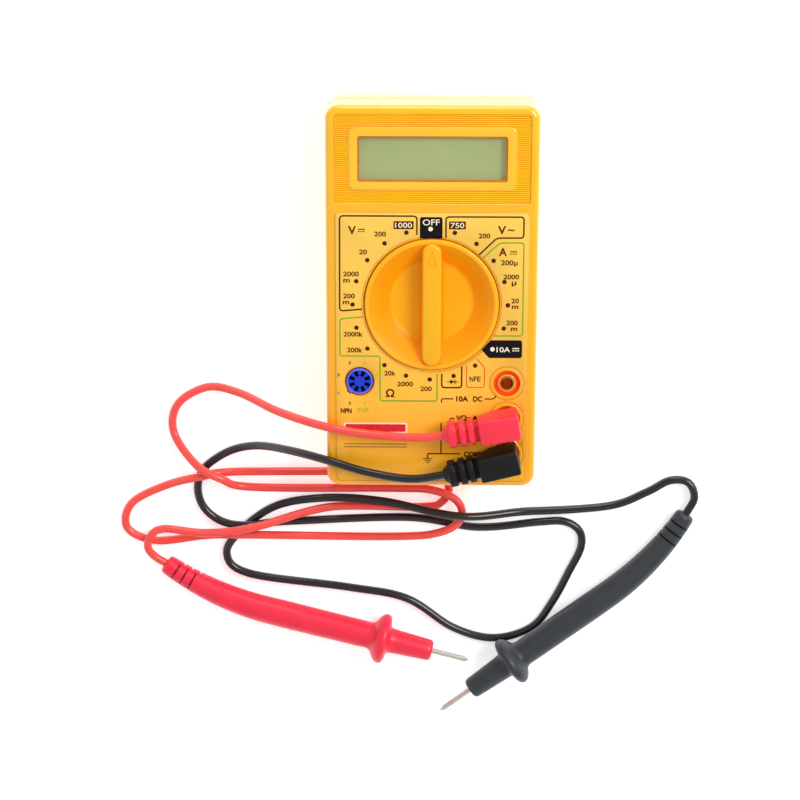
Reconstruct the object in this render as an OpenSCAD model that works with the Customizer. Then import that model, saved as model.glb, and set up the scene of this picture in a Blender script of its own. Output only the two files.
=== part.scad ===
// Pocket digital multimeter with two test leads, millimetres.
// The meter lies on its back: +Z comes out of the face, +Y points to the display.
// The origin is the centre of the back face.

/* [Case] */
// Width of the case
case_w = 68; // [66:1:76]
// Length of the case
case_l = 126; // [124:1:134]
// Thickness of the case, back to face
case_h = 26; // [26:0.5:28]
// Radius of the case corners
corner_r = 4.5; // [3:0.5:7]
// Thickness of the side walls
wall = 2.2; // [1.6:0.2:2.6]
// Thickness of the face
face_t = 2.4; // [2:0.2:2.8]
// Width of the bevel around the face
bevel = 2; // [1:0.5:2.5]
// Height of the joint between the two halves
split_z = 13; // [12:0.5:13.5]

/* [Range knob] */
// Radius of the knob
knob_r = 21.4; // [20:0.2:21.6]
// Distance of the knob's centre below the middle of the face
knob_drop = 1.3; // [0:0.1:2]
// Radius of the floor of the knob's dish
dish_r = 13.2; // [11:0.2:14]
// Width of the grip bar
bar_w = 6; // [5:0.5:8]
// Length of the grip bar
bar_l = 40.4; // [38:0.2:40.6]

/* [Jacks and plugs] */
// Distance of the jacks from the middle line
jack_x = 24.5; // [24:0.5:25]
// Distance of the 10 A jack below the middle of the face
jack_drop = 27.5; // [27.5:0.5:29]
// Distance between neighbouring jacks
jack_pitch = 12; // [12:0.5:12.5]
// Radius of a plug pin
pin_r = 2; // [1.9:0.05:2]
// Radial clearance of a pin in its jack
pin_gap = 0.05; // [0.03:0.01:0.08]
// Length of a plug, from its square end to its tail
plug_l = 24.8; // [24.2:0.2:25.4]

/* [Test leads] */
// Diameter of a lead
lead_d = 2.8; // [2.4:0.1:2.8]
// Radius of a probe handle at its thickest
handle_r = 4.7; // [4:0.1:4.8]
// Radius of the finger guard
guard_r = 8.6; // [8.4:0.1:9]
// Radius of a probe tip
tip_r = 1; // [0.8:0.1:1.2]
// Bare length of a probe tip
tip_l = 12.7; // [10:0.1:16]

/* [Hidden] */
$fn = 64;
inner_w = case_w - 2 * wall;
inner_l = case_l - 2 * wall;
face_under = case_h - face_t;
back_t = 2;
back_taper = 2.5;
taper_z = 4;
label_t = 0.25;
label_top = 29.1;
label_bottom = -61;
label_w = 62;

// Finger grooves across the back
groove_l = 30;
groove_w = 1;
groove_depth = 0.5;
grooves_y = 44;
groove_pitch = 2.2;

// Display
lcd_y = 46;
window_w = 47.2;
window_l = 14.1;
frame_w = 53.2;
frame_l = 20.4;
ribbed_w = 62.4;
ribbed_l = 28.6;
recess = 0.5;

// Knob, detent and wiper heights
knob_y = -knob_drop;
knob_gap = 0.6;
dish_z = 21;
knob_under = 17.4;
rim_z = case_h + 1;
bar_top = case_h + 2;
skirt_r = knob_r + 2;
boss_r = 2.95;
ball_r = 1;

// Circuit board
board_z = 14.6;
board_t = 1.6;
board_top = board_z + board_t;

// Jacks
jack_y = [-jack_drop, -jack_drop - jack_pitch, -jack_drop - 2 * jack_pitch];
bore_r = pin_r + pin_gap;
collar_r = 5.4;
jack_groove_r = 4.3;
jack_ring_r = 3.15;
sleeve_r = 2.4;
sleeve_bottom = 12.2;
sleeve_top = case_h + 0.1;
plug_floor = case_h + 0.9;
plug_h = 12.2;
plug_w = 8;
head_front = 4;
head_back = -9;
slope_start = -3;
slope_rise = 4;
tail_x = head_front - plug_l;
tail_l = 1.8;
core_r = 3.1;
red_turn = 9.5;
black_turn = 14;
cord_z = 33.5;
// Strain-relief fins: distance from the tail, and thickness
fins = [[1.7, 2.5], [5.3, 2], [8.2, 2]];

// Transistor socket
socket_x = -23.2;
socket_y = -27;
socket_r = 4.25;
key_l = 0.6;
key_w = 1.6;

// Screws
screw_r = 1.05;
screw_head_r = 2.15;
screw_post_r = 2.5;
rear_post_r = 3.3;
case_screws_at = [[0, 29], [-29.2, -30.4], [29.2, -30.4]];
board_screws_at = [[-28, 22], [28, 22], [-28, -15], [28, -15]];

// Battery
battery_w = 44.7;
battery_l = 26.2;
battery_h = 17.5;
battery_at = [-30, -60.1, 2.1];
bay_r = 0.8;
terminal_r = 2.9;
terminal_pitch = 12.7;
terminal_z = 8.6;
snap_l = 23;

// Probes: [guard x, guard y, heading, side of the bend]
red_probe = [-16, -124, -13, 1];
black_probe = [28, -132, -144, -1];
handle_straight = 40;
bend_r = 98;
bend_angle = 23;
nose_l = 17.3;
rear_z = 3.4;
rear_r = 3.3;
tip_root_r = 1.3;
tip_root_l = 6;
tip_taper = 1.5;

// Routes of the two leads, from plug to probe
lead_sides = 8;
ring_step = 7.4;
red_route = [
    [6.2, -42.6, 33.5], [-4, -44, 32.6], [-20, -43.8, 30], [-34, -42, 28], [-50, -40.4, 17],
    [-64, -37.4, 5.4], [-75, -36.6, 1.5], [-85, -42.6, 1.4], [-86.6, -52.6, 1.4],
    [-79, -62.4, 6.2], [-70.5, -67.4, 6.6], [-60, -71.8, 1.8], [-14, -71.8, 1.8],
    [0.6, -71.6, 4.3], [9.2, -75.6, 4.5], [10.2, -82, 4.6], [3, -87, 4], [-14, -89.4, 1.4],
    [-64.5, -88, 4.5], [-78, -89.6, 1.4], [-94, -91.4, 1.4], [-103.4, -86.8, 1.4],
    [-101.6, -78, 1.4], [-90, -71.4, 2], [-77.5, -67.2, 4.8], [-64, -66.4, 1.4], [-10, -66, 1.4],
    [-1.4, -66.1, 1.4], [4.4, -68.2, 1.4], [6.2, -72.6, 1.4], [3.6, -77, 1.4], [-3, -78.6, 1.4],
    [-34, -78.8, 1.6], [-60, -84.4, 7.4], [-76, -87, 5.8], [-90.6, -86, 4.6], [-95.2, -88.8, 4.6],
    [-96.2, -93, 4.3], [-93.9, -96.4, 3.8], [-90.36, -98.84, 3.4]];
black_route = [
    [6.4, -56, 33.5], [-6, -58.2, 32.4], [-20, -57, 29.8], [-34, -53.5, 27.6], [-46, -53, 19.5],
    [-58, -55, 8], [-68, -59, 1.8], [-76.4, -65, 1.4], [-79, -72, 1.4], [-77, -79.4, 1.4],
    [-70.5, -84.4, 1.8], [-61, -84.6, 4.6], [-50, -84.2, 1.5], [-8, -82.4, 1.4], [16, -85.8, 1.4],
    [37, -83.8, 1.4], [45.6, -83.6, 1.4], [50.8, -87, 1.4], [51.4, -93, 1.4], [47.6, -101.6, 1.4],
    [42, -113, 1.4], [35, -122.4, 1.4], [22, -126.4, 1.4], [8, -122.6, 1.4], [-8, -112, 1.4],
    [-28, -108, 1.4], [-62, -103.2, 1.4], [-69.6, -95.6, 1.4], [-63.4, -86.4, 1.4],
    [-52, -78.4, 1.4], [-36, -75.6, 1.4], [-16, -75.8, 4], [10, -79.8, 7.6], [32, -80, 1.6],
    [60, -78, 1.4], [73, -73, 1.4], [80.8, -68.6, 1.7], [87, -69, 2.2], [89.3, -74.2, 2.9],
    [86.62, -79.78, 3.4]];

// ---- Swept tubes ----

// Catmull-Rom point between b and c, at t from 0 to 1
function spline(a, b, c, d, t) =
    0.5 * (2 * b + (c - a) * t + (2 * a - 5 * b + 4 * c - d) * t * t + (3 * b - a - 3 * c + d) * t * t * t);
function steps(b, c, step) = max(1, round(norm(c - b) / step));
// A smooth line through all the route's points, kept at or above the height low
function smooth(p, step, low) = [
    for (i = [0 : len(p) - 2])
        let (a = i == 0 ? 2 * p[0] - p[1] : p[i - 1],
             d = i == len(p) - 2 ? 2 * p[i + 1] - p[i] : p[i + 2],
             n = steps(p[i], p[i + 1], step))
        for (k = [0 : n - 1])
            let (q = spline(a, p[i], p[i + 1], d, k / n)) [q.x, q.y, max(low, q.z)],
    p[len(p) - 1]];
function unit(v) = v / norm(v);
function heading(p, i) = unit(p[min(i + 1, len(p) - 1)] - p[max(i - 1, 0)]);
// A ring of points square to the line at point i
function ring(p, i, r, sides, up) =
    let (t = heading(p, i), u = unit(cross(up, t)), v = cross(t, u))
    [for (k = [0 : sides - 1]) p[i] + r * (cos(360 * k / sides) * u + sin(360 * k / sides) * v)];
// A closed tube along the points p, with one radius for each point
module tube(p, radii, sides, up = [0, 0, 1]) {
    n = len(p);
    rings = [for (i = [0 : n - 1]) each ring(p, i, radii[i], sides, up)];
    sides_faces = [for (i = [0 : n - 2]) for (k = [0 : sides - 1])
        let (a = i * sides + k, b = i * sides + (k + 1) % sides)
        each [[a, a + sides, b], [b, a + sides, b + sides]]];
    first = [for (k = [0 : sides - 1]) k];
    last = [for (k = [sides - 1 : -1 : 0]) (n - 1) * sides + k];
    polyhedron(points = rings, faces = concat(sides_faces, [first, last]));
}
module lead(route) {
    line = smooth(route, ring_step, lead_d / 2);
    tube(line, [for (q = line) lead_d / 2], lead_sides);
}
// A coil spring standing on z = 0
module coil(r, wire_r, h, turns) {
    per_turn = 10;
    n = turns * per_turn;
    p = [for (i = [0 : n]) [r * cos(360 * i / per_turn), r * sin(360 * i / per_turn),
        wire_r + (h - 2 * wire_r) * i / n]];
    tube(p, [for (q = p) wire_r], 6);
}

// ---- Shared shapes ----

module rounded(w, l, r) {
    for (x = [-1, 1]) for (y = [-1, 1])
        translate([x * (w / 2 - r), y * (l / 2 - r)]) circle(r = r, $fn = 48);
    square([w - 2 * r, l], center = true);
    square([w, l - 2 * r], center = true);
}
module slab(w, l, h, r) {
    linear_extrude(h) rounded(w, l, r);
}
module block(size, at) {
    translate(at) cube(size);
}
module post(r, z0, z1, at) {
    translate([at.x, at.y, z0]) cylinder(r = r, h = z1 - z0);
}
module at_jacks() {
    for (y = jack_y) translate([jack_x, y, 0]) children();
}

// ---- Case ----

module front_case() color("orange") difference() {
    union() {
        difference() {
            hull() {
                translate([0, 0, split_z]) slab(case_w, case_l, case_h - bevel - split_z, corner_r);
                translate([0, 0, case_h - 0.1])
                    slab(case_w - 2 * bevel, case_l - 2 * bevel, 0.1, corner_r - bevel / 2);
            }
            translate([0, 0, split_z - 1])
                slab(inner_w, inner_l, face_under - split_z + 1, corner_r - wall / 2);
        }
        at_jacks() post(collar_r, face_under - 2.2, case_h + 0.5, [0, 0]);
        for (p = case_screws_at) post(screw_post_r, 12, face_under + 0.5, p);
        for (p = board_screws_at) post(2.2, board_top + 0.1, face_under + 0.5, p);
        detent_ring();
    }
    post(knob_r + knob_gap, face_under - 1, case_h + 1, [0, knob_y]);
    at_jacks() jack_recess();
    for (p = case_screws_at) post(screw_r + 0.05, 11, 21, p);
    for (p = board_screws_at) post(0.75, 15, 21, p);
    post(socket_r + 0.1, face_under - 1, case_h + 1, [socket_x, socket_y]);
    socket_key(0.1, face_under - 1, case_h + 1);
    display_opening();
}
module detent_ring() translate([0, knob_y, face_under - 3.6]) difference() {
    cylinder(r = skirt_r + 2.2, h = 4);
    translate([0, 0, -1]) cylinder(r = skirt_r + 0.6, h = 6);
}
module jack_recess() {
    post(sleeve_r + 0.05, face_under - 4, case_h + 2, [0, 0]);
    translate([0, 0, face_under - 0.4]) difference() {
        cylinder(r = jack_groove_r, h = 6);
        translate([0, 0, -1]) cylinder(r = jack_ring_r, h = 3.7);
    }
}
module display_opening() translate([0, lcd_y, 0]) {
    translate([0, 0, case_h - recess]) difference() {
        slab(ribbed_w, ribbed_l, 2, 1.2);
        translate([0, 0, -1]) slab(frame_w, frame_l, 4, 1.5);
    }
    translate([0, 0, face_under - 1]) slab(window_w, window_l, 6, 0.6);
    translate([0, 0, face_under - 1]) slab(window_w + 4, window_l + 3, 2.2, 0.6);
}

module rear_case() color("darkorange") difference() {
    union() {
        difference() {
            hull() {
                slab(case_w - 2 * back_taper, case_l - 2 * back_taper, 0.1, corner_r - 1);
                translate([0, 0, taper_z]) slab(case_w, case_l, split_z - taper_z, corner_r);
            }
            translate([0, 0, taper_z]) slab(inner_w, inner_l, split_z, corner_r - wall / 2);
            translate([0, 0, back_t]) slab(inner_w - 3, inner_l - 0.9, taper_z, bay_r);
        }
        for (p = case_screws_at) post(rear_post_r, 1, 11.9, p);
        lip();
        block([case_w / 2 + 16, 1, 9], [-case_w / 2 + 1, battery_at.y + battery_l + 0.3, 1]);
    }
    for (p = case_screws_at) {
        post(screw_r + 0.3, -1, 13, p);
        post(screw_head_r + 0.15, -1, 8.85, p);
    }
    for (i = [-4 : 4])
        block([groove_l, groove_w, groove_depth + 1], [-groove_l / 2, grooves_y + groove_pitch * i, -1]);
}
// Tongue that enters the front half, above the battery bay
module lip() intersection() {
    translate([0, 0, split_z - 3]) difference() {
        union() {
            slab(inner_w + 1, inner_l + 1, 3, corner_r - wall / 2);
            slab(inner_w - 0.2, inner_l - 0.2, 4.2, corner_r - wall / 2);
        }
        translate([0, 0, -1]) slab(inner_w - 2, inner_l - 2, 7, corner_r - wall);
    }
    block([case_w, 100, 20], [-case_w / 2, -26, 0]);
}
module case_screws() color("silver") for (p = case_screws_at) {
    post(screw_r, 8.5, 20.5, p);
    difference() {
        post(screw_head_r, 7, 8.8, p);
        block([3, 0.6, 0.9], [p.x - 1.5, p.y - 0.3, 6.8]);
        block([0.6, 3, 0.9], [p.x - 0.3, p.y - 1.5, 6.8]);
    }
}
module front_label() color("gold") translate([0, 0, case_h]) difference() {
    translate([0, (label_top + label_bottom) / 2, 0]) slab(label_w, label_top - label_bottom, label_t, 1.5);
    post(knob_r + knob_gap + 0.3, -1, 1, [0, knob_y]);
    at_jacks() post(collar_r + 0.1, -1, 1, [0, 0]);
    post(socket_r + 0.3, -1, 1, [socket_x, socket_y]);
    socket_key(0.3, -1, 1);
}

// ---- Display ----

module lcd_cover() color("lightcyan", 0.4) translate([0, lcd_y, 0]) {
    translate([0, 0, face_under + 0.05]) slab(window_w + 3.8, window_l + 2.8, 1.1, 0.6);
    translate([0, 0, face_under + 1]) slab(window_w - 0.2, window_l - 0.2, 0.7, 0.5);
}
module lcd_cell() color("darkseagreen") translate([0, lcd_y, 0]) {
    translate([0, 0, 20.6]) slab(52, 21, 1.4, 0.4);
    translate([0, 1, 22]) slab(52, 18, 1.3, 0.4);
}
module lcd_holder() color("whitesmoke") translate([0, lcd_y, board_top + 0.05]) difference() {
    slab(56, 24.4, 7.2, 1);
    translate([0, 0, 4.2]) slab(52.3, 21.3, 4, 0.5);
    translate([0, 0, -1]) slab(49, 19.4, 9, 0.5);
}
module zebra_strips() color("dimgray")
    for (y = [-8.2, 8.2]) block([46, 2, 4.3], [-23, lcd_y + y - 1, board_top + 0.05]);

// ---- Circuit board and its parts ----

module circuit_board() color("seagreen") difference() {
    union() {
        block([62, 85.4, board_t], [-31, -27.4, board_z]);
        block([57, 6, board_t], [-26, -33, board_z]);
        block([11.4, 30, board_t], [19.6, -58, board_z]);
    }
    post(boss_r + 0.05, 10, 20, [0, knob_y]);
    at_jacks() post(sleeve_r + 0.05, 10, 20, [0, 0]);
    for (p = case_screws_at) post(screw_post_r + 0.2, 10, 20, p);
    for (p = board_screws_at) post(1, 10, 20, p);
    at_contacts() post(0.4, 10, 20, [0, 0]);
}
module board_screws() color("silver") for (p = board_screws_at) {
    post(0.7, board_z - 0.5, 20.5, p);
    difference() {
        post(1.9, 13.2, board_z - 0.05, p);
        block([2.6, 0.5, 0.8], [p.x - 1.3, p.y - 0.25, 12.9]);
    }
}
module chip_cap() color("black") translate([0, 44, board_z - 1.8]) cylinder(r1 = 5.5, r2 = 7, h = 1.75);

module fuse_glass() color("lightcyan", 0.5) translate([-12.4, -22, 10]) rotate([0, 90, 0]) difference() {
    cylinder(r = 2.35, h = 14.8);
    translate([0, 0, -1]) cylinder(r = 1.8, h = 17);
}
module fuse_caps() color("silver") for (x = [-15, 2.45]) translate([x, -22, 10])
    rotate([0, 90, 0]) cylinder(r = 2.5, h = 2.5);
module fuse_clips() color("goldenrod") for (x = [-14.8, 2.6]) {
    block([2.2, 5.8, 0.4], [x, -24.9, board_z - 0.45]);
    for (y = [-25.1, -19.3]) block([2.2, 0.4, 6.4], [x, y, board_z - 6.45]);
}
module shunt_wire() color("tan") translate([14, -25, board_z - 3]) {
    for (y = [-5, 5]) {
        translate([0, y, -4]) cylinder(r = 0.8, h = 6.95);
        translate([0, y, -4]) sphere(r = 0.8);
    }
    translate([0, 5, -4]) rotate([90, 0, 0]) cylinder(r = 0.8, h = 10);
}
module sleeve(y) color("gold") translate([jack_x, y, 0]) difference() {
    union() {
        post(sleeve_r, sleeve_bottom, sleeve_top, [0, 0]);
        post(2.85, board_z - 0.6, board_z - 0.05, [0, 0]);
    }
    post(bore_r, sleeve_bottom + 0.6, sleeve_top + 1, [0, 0]);
}
module jack_10a() sleeve(jack_y[0]);
module jack_volt() sleeve(jack_y[1]);
module jack_com() sleeve(jack_y[2]);

module at_contacts() for (i = [0 : 7]) translate([socket_x, socket_y, 0])
    rotate([0, 0, 45 * i + 22.5]) translate([2.65, 0, 0]) children();
module socket_key(gap, z0, z1) translate([socket_x, socket_y, 0]) rotate([0, 0, 225])
    block([key_l + gap, key_w + 2 * gap, z1 - z0], [socket_r - 0.1, -key_w / 2 - gap, z0]);
module transistor_socket() color("royalblue") difference() {
    union() {
        post(socket_r, board_top + 0.1, case_h + 0.6, [socket_x, socket_y]);
        socket_key(0, face_under, case_h + 0.6);
    }
    at_contacts() block([1.5, 0.9, 9], [-0.75, -0.45, 18.6]);
    at_contacts() post(0.4, 10, 19, [0, 0]);
}
module socket_contacts() color("silver") at_contacts() post(0.32, 12.6, 21, [0, 0]);
module trimmer() color("cornflowerblue") {
    block([6.6, 6.6, 4], [17, 3, board_z - 4.05]);
    post(1.4, board_z - 4.6, board_z - 4, [20.3, 6.3]);
}
module resistors() color("burlywood") for (col = [0, 1]) for (row = [0 : 3])
    translate([-24 + 12 * col, -2 + 5 * row, board_z - 1.3]) {
        rotate([0, 90, 0]) cylinder(r = 1.1, h = 6);
        rotate([0, 90, 0]) translate([0, 0, -1.5]) cylinder(r = 0.3, h = 9);
        for (x = [-1.3, 7.3]) translate([x, 0, 0]) cylinder(r = 0.3, h = 1.25);
    }
module capacitors() color("firebrick") {
    for (y = [1, 8, 15]) block([7, 2.6, 6.5], [4, y, board_z - 6.55]);
    translate([11, 24, board_z - 8.05]) cylinder(r = 2.5, h = 8);
}
module shield_sheet() color("lightgray") difference() {
    block([50, 76, 0.25], [-25, -20, back_t + 0.05]);
    post(3.8, 1, 4, case_screws_at[0]);
}
module shield_spring() color("silver") translate([18, 40, back_t + 0.35])
    coil(1.8, 0.25, board_z - back_t - 0.45, 6);

// ---- Range knob ----

module range_knob() color("orange") translate([0, knob_y, 0]) difference() {
    union() {
        rotate_extrude($fn = 96) polygon([[0, 13], [boss_r, 13], [boss_r, knob_under],
            [skirt_r - 4, knob_under], [skirt_r - 4, 19.6], [skirt_r, 19.6], [skirt_r, face_under - 0.3],
            [knob_r, face_under - 0.3], [knob_r, rim_z - 0.4], [knob_r - 0.4, rim_z], [knob_r - 1, rim_z],
            [dish_r, dish_z], [0, dish_z]]);
        translate([0, 0, dish_z - 1]) linear_extrude(bar_top - dish_z + 1) grip_outline();
    }
    for (side = [-1, 1]) translate([side * 17, 0, 21.2])
        rotate([0, 90 * side, 0]) cylinder(r = ball_r + 0.06, h = 7);
}
module grip_outline() {
    square([bar_w, bar_l - bar_w], center = true);
    for (y = [-1, 1]) translate([0, y * (bar_l - bar_w) / 2]) circle(r = bar_w / 2);
}
module wiper_springs() color("gold") for (r = [8, 12, 16]) translate([0, knob_y, 0]) {
    block([3.2, 1.4, 0.2], [-1.6, r - 0.7, knob_under - 0.25]);
    translate([0, r + 0.7, knob_under - 0.57]) rotate([90, 0, 0]) difference() {
        cylinder(r = 0.52, h = 1.4);
        translate([0, 0, -1]) cylinder(r = 0.34, h = 4);
    }
}
module detent_balls() color("silver") for (side = [-1, 1])
    translate([side * (skirt_r - 0.5), knob_y, 21.2]) sphere(r = ball_r);
module detent_springs() color("silver") for (side = [-1, 1])
    translate([side * 17.1, knob_y, 21.2]) rotate([0, 90 * side, 0]) coil(0.75, 0.15, 4.7, 4);

// ---- Battery ----

module battery() color("dimgray") translate(battery_at) rotate([90, 0, 90])
    translate([battery_l / 2, battery_h / 2, 0]) slab(battery_l, battery_h, battery_w, 2);
module at_terminals() for (side = [-1, 1])
    translate([battery_at.x + battery_w, battery_at.y + (battery_l + side * terminal_pitch) / 2, terminal_z])
        rotate([0, 90, 0]) children();
module battery_terminals() color("silver") at_terminals() cylinder(r = terminal_r, h = 2.5);
module battery_snap() color("black") difference() {
    block([4, snap_l, 11], [battery_at.x + battery_w + 2.3, battery_at.y + (battery_l - snap_l) / 2, 3.1]);
    at_terminals() translate([0, 0, -0.5]) cylinder(r = terminal_r + 0.1, h = 3.6);
}
module battery_wires() color("red") {
    wire([[17.6, -50, 14.2], [17.5, -47.6, 16.4], [16.6, -43, 18], [16, -37, 18.6], [15.2, -33.2, 18.7],
        [13.4, -31.3, 18.4], [12.6, -30.3, 17.6], [12.5, -30.1, board_top + 0.05]]);
    wire([[18.8, -43, 14.2], [18.7, -41.4, 16], [17.9, -38.4, 17.6], [17.6, -35, 18.1], [16.6, -32.4, 18],
        [15.6, -30.6, 17.4], [15.5, -30.3, board_top + 0.05]]);
}
module wire(route) {
    line = smooth(route, 2, 0);
    tube(line, [for (q = line) 0.5], 6, [1, 0, 0]);
}

// ---- Plugs ----

// The plug's own frame: pin on the Z axis, square end towards +X
module plug_body(turn, y) translate([jack_x, y, 0]) rotate([0, 0, turn]) difference() {
    union() {
        translate([0, plug_w / 2, plug_floor]) rotate([90, 0, 0]) linear_extrude(plug_w)
            polygon([[head_back, slope_rise], [slope_start, 0], [head_front, 0], [head_front, plug_h],
                [head_back, plug_h]]);
        translate([tail_x + tail_l, 0, cord_z]) rotate([0, 90, 0])
            cylinder(r = core_r, h = head_back + 1 - tail_x - tail_l);
        for (fin = fins) translate([tail_x + fin.x, -plug_w / 2, cord_z - 4.4]) cube([fin.y, plug_w, 8.4]);
        translate([tail_x, 0, cord_z]) rotate([0, 90, 0]) cylinder(r1 = 2.2, r2 = 3.4, h = tail_l);
    }
    translate([tail_x - 1, 0, cord_z]) rotate([0, 90, 0]) cylinder(r = lead_d / 2 + 0.2, h = 5);
    translate([tail_x - 0.5, 0, cord_z]) rotate([0, 90, 0])
        cylinder(r1 = lead_d / 2 + 0.7, r2 = lead_d / 2 + 0.2, h = 2.5);
    translate([0, 0, plug_floor - 1]) cylinder(r = pin_r, h = 7);
}
module plug_pin(y) color("silver") translate([jack_x, y, 0]) difference() {
    union() {
        post(pin_r, 14.2, plug_floor + 6, [0, 0]);
        translate([0, 0, 13]) cylinder(r1 = pin_r - 0.7, r2 = pin_r, h = 1.2);
    }
    block([0.5, 6, 9], [-0.25, -3, 12]);
}
module red_plug_body() color("crimson") plug_body(red_turn, jack_y[1]);
module red_plug_pin() plug_pin(jack_y[1]);
module black_plug_body() color("black") plug_body(black_turn, jack_y[2]);
module black_plug_pin() plug_pin(jack_y[2]);

// ---- Leads and probes ----

module red_cord() color("tomato") lead(red_route);
module black_cord() color("black") lead(black_route);

// Lifts the probe's own frame into place: guard at the origin, tip towards +X
rear_x = -handle_straight - bend_r * sin(bend_angle);
pitch = atan((guard_r - rear_z) / -rear_x);
module at_probe(p) translate([p[0], p[1], guard_r]) rotate([0, 0, p[2]]) rotate([0, -pitch, 0]) children();
function bend_point(a, side) =
    [-handle_straight - bend_r * sin(a), side * bend_r * (1 - cos(a)), 0];
// Radius of the handle at a share t of its length, from the rear to the guard
function grip_r(t) = rear_r + (handle_r - rear_r) * sin(min(90, 150 * t)) - 0.4 * max(0, t - 0.6);
function handle_line(side) = concat(
    [for (i = [0 : 13]) bend_point(bend_angle * (1 - i / 14), side)],
    [for (i = [0 : 13]) [-handle_straight * (1 - i / 13), 0, 0]]);
module probe_handle(p) at_probe(p) difference() {
    line = handle_line(p[3]);
    rear = line[0];
    union() {
        tube(line, [for (i = [0 : len(line) - 1]) grip_r(i / (len(line) - 1))], 20);
        rotate([0, 90, 0]) rotate_extrude() polygon([[0, -4], [4.4, -4], [4.8, -2.6], [guard_r - 1, -1.6],
            [guard_r - 0.2, -0.8], [guard_r, 0], [guard_r - 0.2, 0.8], [guard_r - 1.2, 1.6], [4.4, 2],
            [3.6, nose_l - 0.8], [2.9, nose_l], [0, nose_l]]);
    }
    translate([rear.x, rear.y, 0]) rotate([0, 0, -p[3] * bend_angle]) rotate([0, 90, 0])
        translate([0, 0, -1]) cylinder(r = lead_d / 2 + 0.2, h = 5);
    rotate([0, 90, 0]) translate([0, 0, -tip_root_l]) cylinder(r = tip_root_r, h = nose_l + tip_root_l + 1);
}
module probe_tip(p) color("silver") at_probe(p) rotate([0, 90, 0]) {
    translate([0, 0, -tip_root_l]) cylinder(r = tip_root_r, h = nose_l + tip_root_l + 0.1);
    translate([0, 0, nose_l - 1]) cylinder(r = tip_r, h = tip_l + 1 - tip_taper);
    translate([0, 0, nose_l + tip_l - tip_taper]) cylinder(r1 = tip_r, r2 = 0.25, h = tip_taper);
}
module red_probe_handle() color("crimson") probe_handle(red_probe);
module red_probe_tip() probe_tip(red_probe);
module black_probe_handle() color("darkslategray") probe_handle(black_probe);
module black_probe_tip() probe_tip(black_probe);

front_case();
rear_case();
case_screws();
front_label();
lcd_cover();
lcd_cell();
lcd_holder();
zebra_strips();
circuit_board();
board_screws();
chip_cap();
fuse_glass();
fuse_caps();
fuse_clips();
shunt_wire();
jack_10a();
jack_volt();
jack_com();
transistor_socket();
socket_contacts();
trimmer();
resistors();
capacitors();
shield_sheet();
shield_spring();
range_knob();
wiper_springs();
detent_balls();
detent_springs();
battery();
battery_terminals();
battery_snap();
battery_wires();
red_plug_body();
red_plug_pin();
red_cord();
red_probe_handle();
red_probe_tip();
black_plug_body();
black_plug_pin();
black_cord();
black_probe_handle();
black_probe_tip();
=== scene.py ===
"""Looks of the pocket digital multimeter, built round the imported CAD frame. Sizes are in millimetres here."""
import math
import bmesh
import bpy
from mathutils import Matrix, Vector
from mathutils.geometry import delaunay_2d_cdt


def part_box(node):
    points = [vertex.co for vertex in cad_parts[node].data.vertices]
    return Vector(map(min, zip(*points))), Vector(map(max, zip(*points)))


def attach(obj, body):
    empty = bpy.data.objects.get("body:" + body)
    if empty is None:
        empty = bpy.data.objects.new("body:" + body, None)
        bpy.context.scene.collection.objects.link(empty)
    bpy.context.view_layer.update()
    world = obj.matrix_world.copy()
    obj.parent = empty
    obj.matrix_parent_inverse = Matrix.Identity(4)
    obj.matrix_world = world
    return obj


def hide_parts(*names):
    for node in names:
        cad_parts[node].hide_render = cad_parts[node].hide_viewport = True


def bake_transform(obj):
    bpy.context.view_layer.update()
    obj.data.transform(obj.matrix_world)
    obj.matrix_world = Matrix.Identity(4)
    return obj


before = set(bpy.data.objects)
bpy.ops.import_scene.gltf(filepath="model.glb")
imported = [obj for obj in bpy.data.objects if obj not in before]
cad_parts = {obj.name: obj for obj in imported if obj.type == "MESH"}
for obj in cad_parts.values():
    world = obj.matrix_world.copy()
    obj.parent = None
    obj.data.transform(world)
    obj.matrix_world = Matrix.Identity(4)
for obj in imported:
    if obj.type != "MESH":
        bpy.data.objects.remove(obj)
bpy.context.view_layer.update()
MM = 0.001


def box_mm(node):
    lo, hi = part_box(node)
    return [c / MM for c in lo], [c / MM for c in hi]


def middle(node):
    lo, hi = box_mm(node)
    return [(a + b) / 2 for a, b in zip(lo, hi)]


def added(name, data):
    """A new object in the scene, holding the data given."""
    obj = bpy.data.objects.new(name, data)
    bpy.context.scene.collection.objects.link(obj)
    return obj


# ---- Camera ----
CAMERA_AT = (-0.54, 195.12, 780.01)
CAMERA_PITCH, CAMERA_YAW, CAMERA_ROLL = -0.29416, 0.01268, 0.00219
SENSOR_W, LENS = 36, 109.16

camera = added("camera", bpy.data.cameras.new("camera"))
camera.data.sensor_width, camera.data.lens = SENSOR_W, LENS
camera.data.clip_start, camera.data.clip_end = 0.01, 20
camera.location = Vector(CAMERA_AT) * MM
camera.rotation_mode = "QUATERNION"
turned = Matrix.Rotation(CAMERA_YAW, 3, "Y") @ Matrix.Rotation(CAMERA_PITCH, 3, "X")
camera.rotation_quaternion = (turned @ Matrix.Rotation(CAMERA_ROLL, 3, "Z")).to_quaternion()
bpy.context.scene.camera = camera
bpy.context.scene.view_settings.view_transform = "Standard"


# ---- Materials ----
def linear(*rgb):
    """A colour given in steps of 0 to 255, as the shader takes it."""
    out = [c / 255 / 12.92 if c <= 10.3 else ((c / 255 + 0.055) / 1.055) ** 2.4 for c in rgb]
    return (*out, 1.0)


def set_sockets(node, **sockets):
    """Sets a node's own values, with an underscore for each space in a socket's name."""
    for socket, value in sockets.items():
        node.inputs[socket.replace("_", " ")].default_value = value


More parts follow.
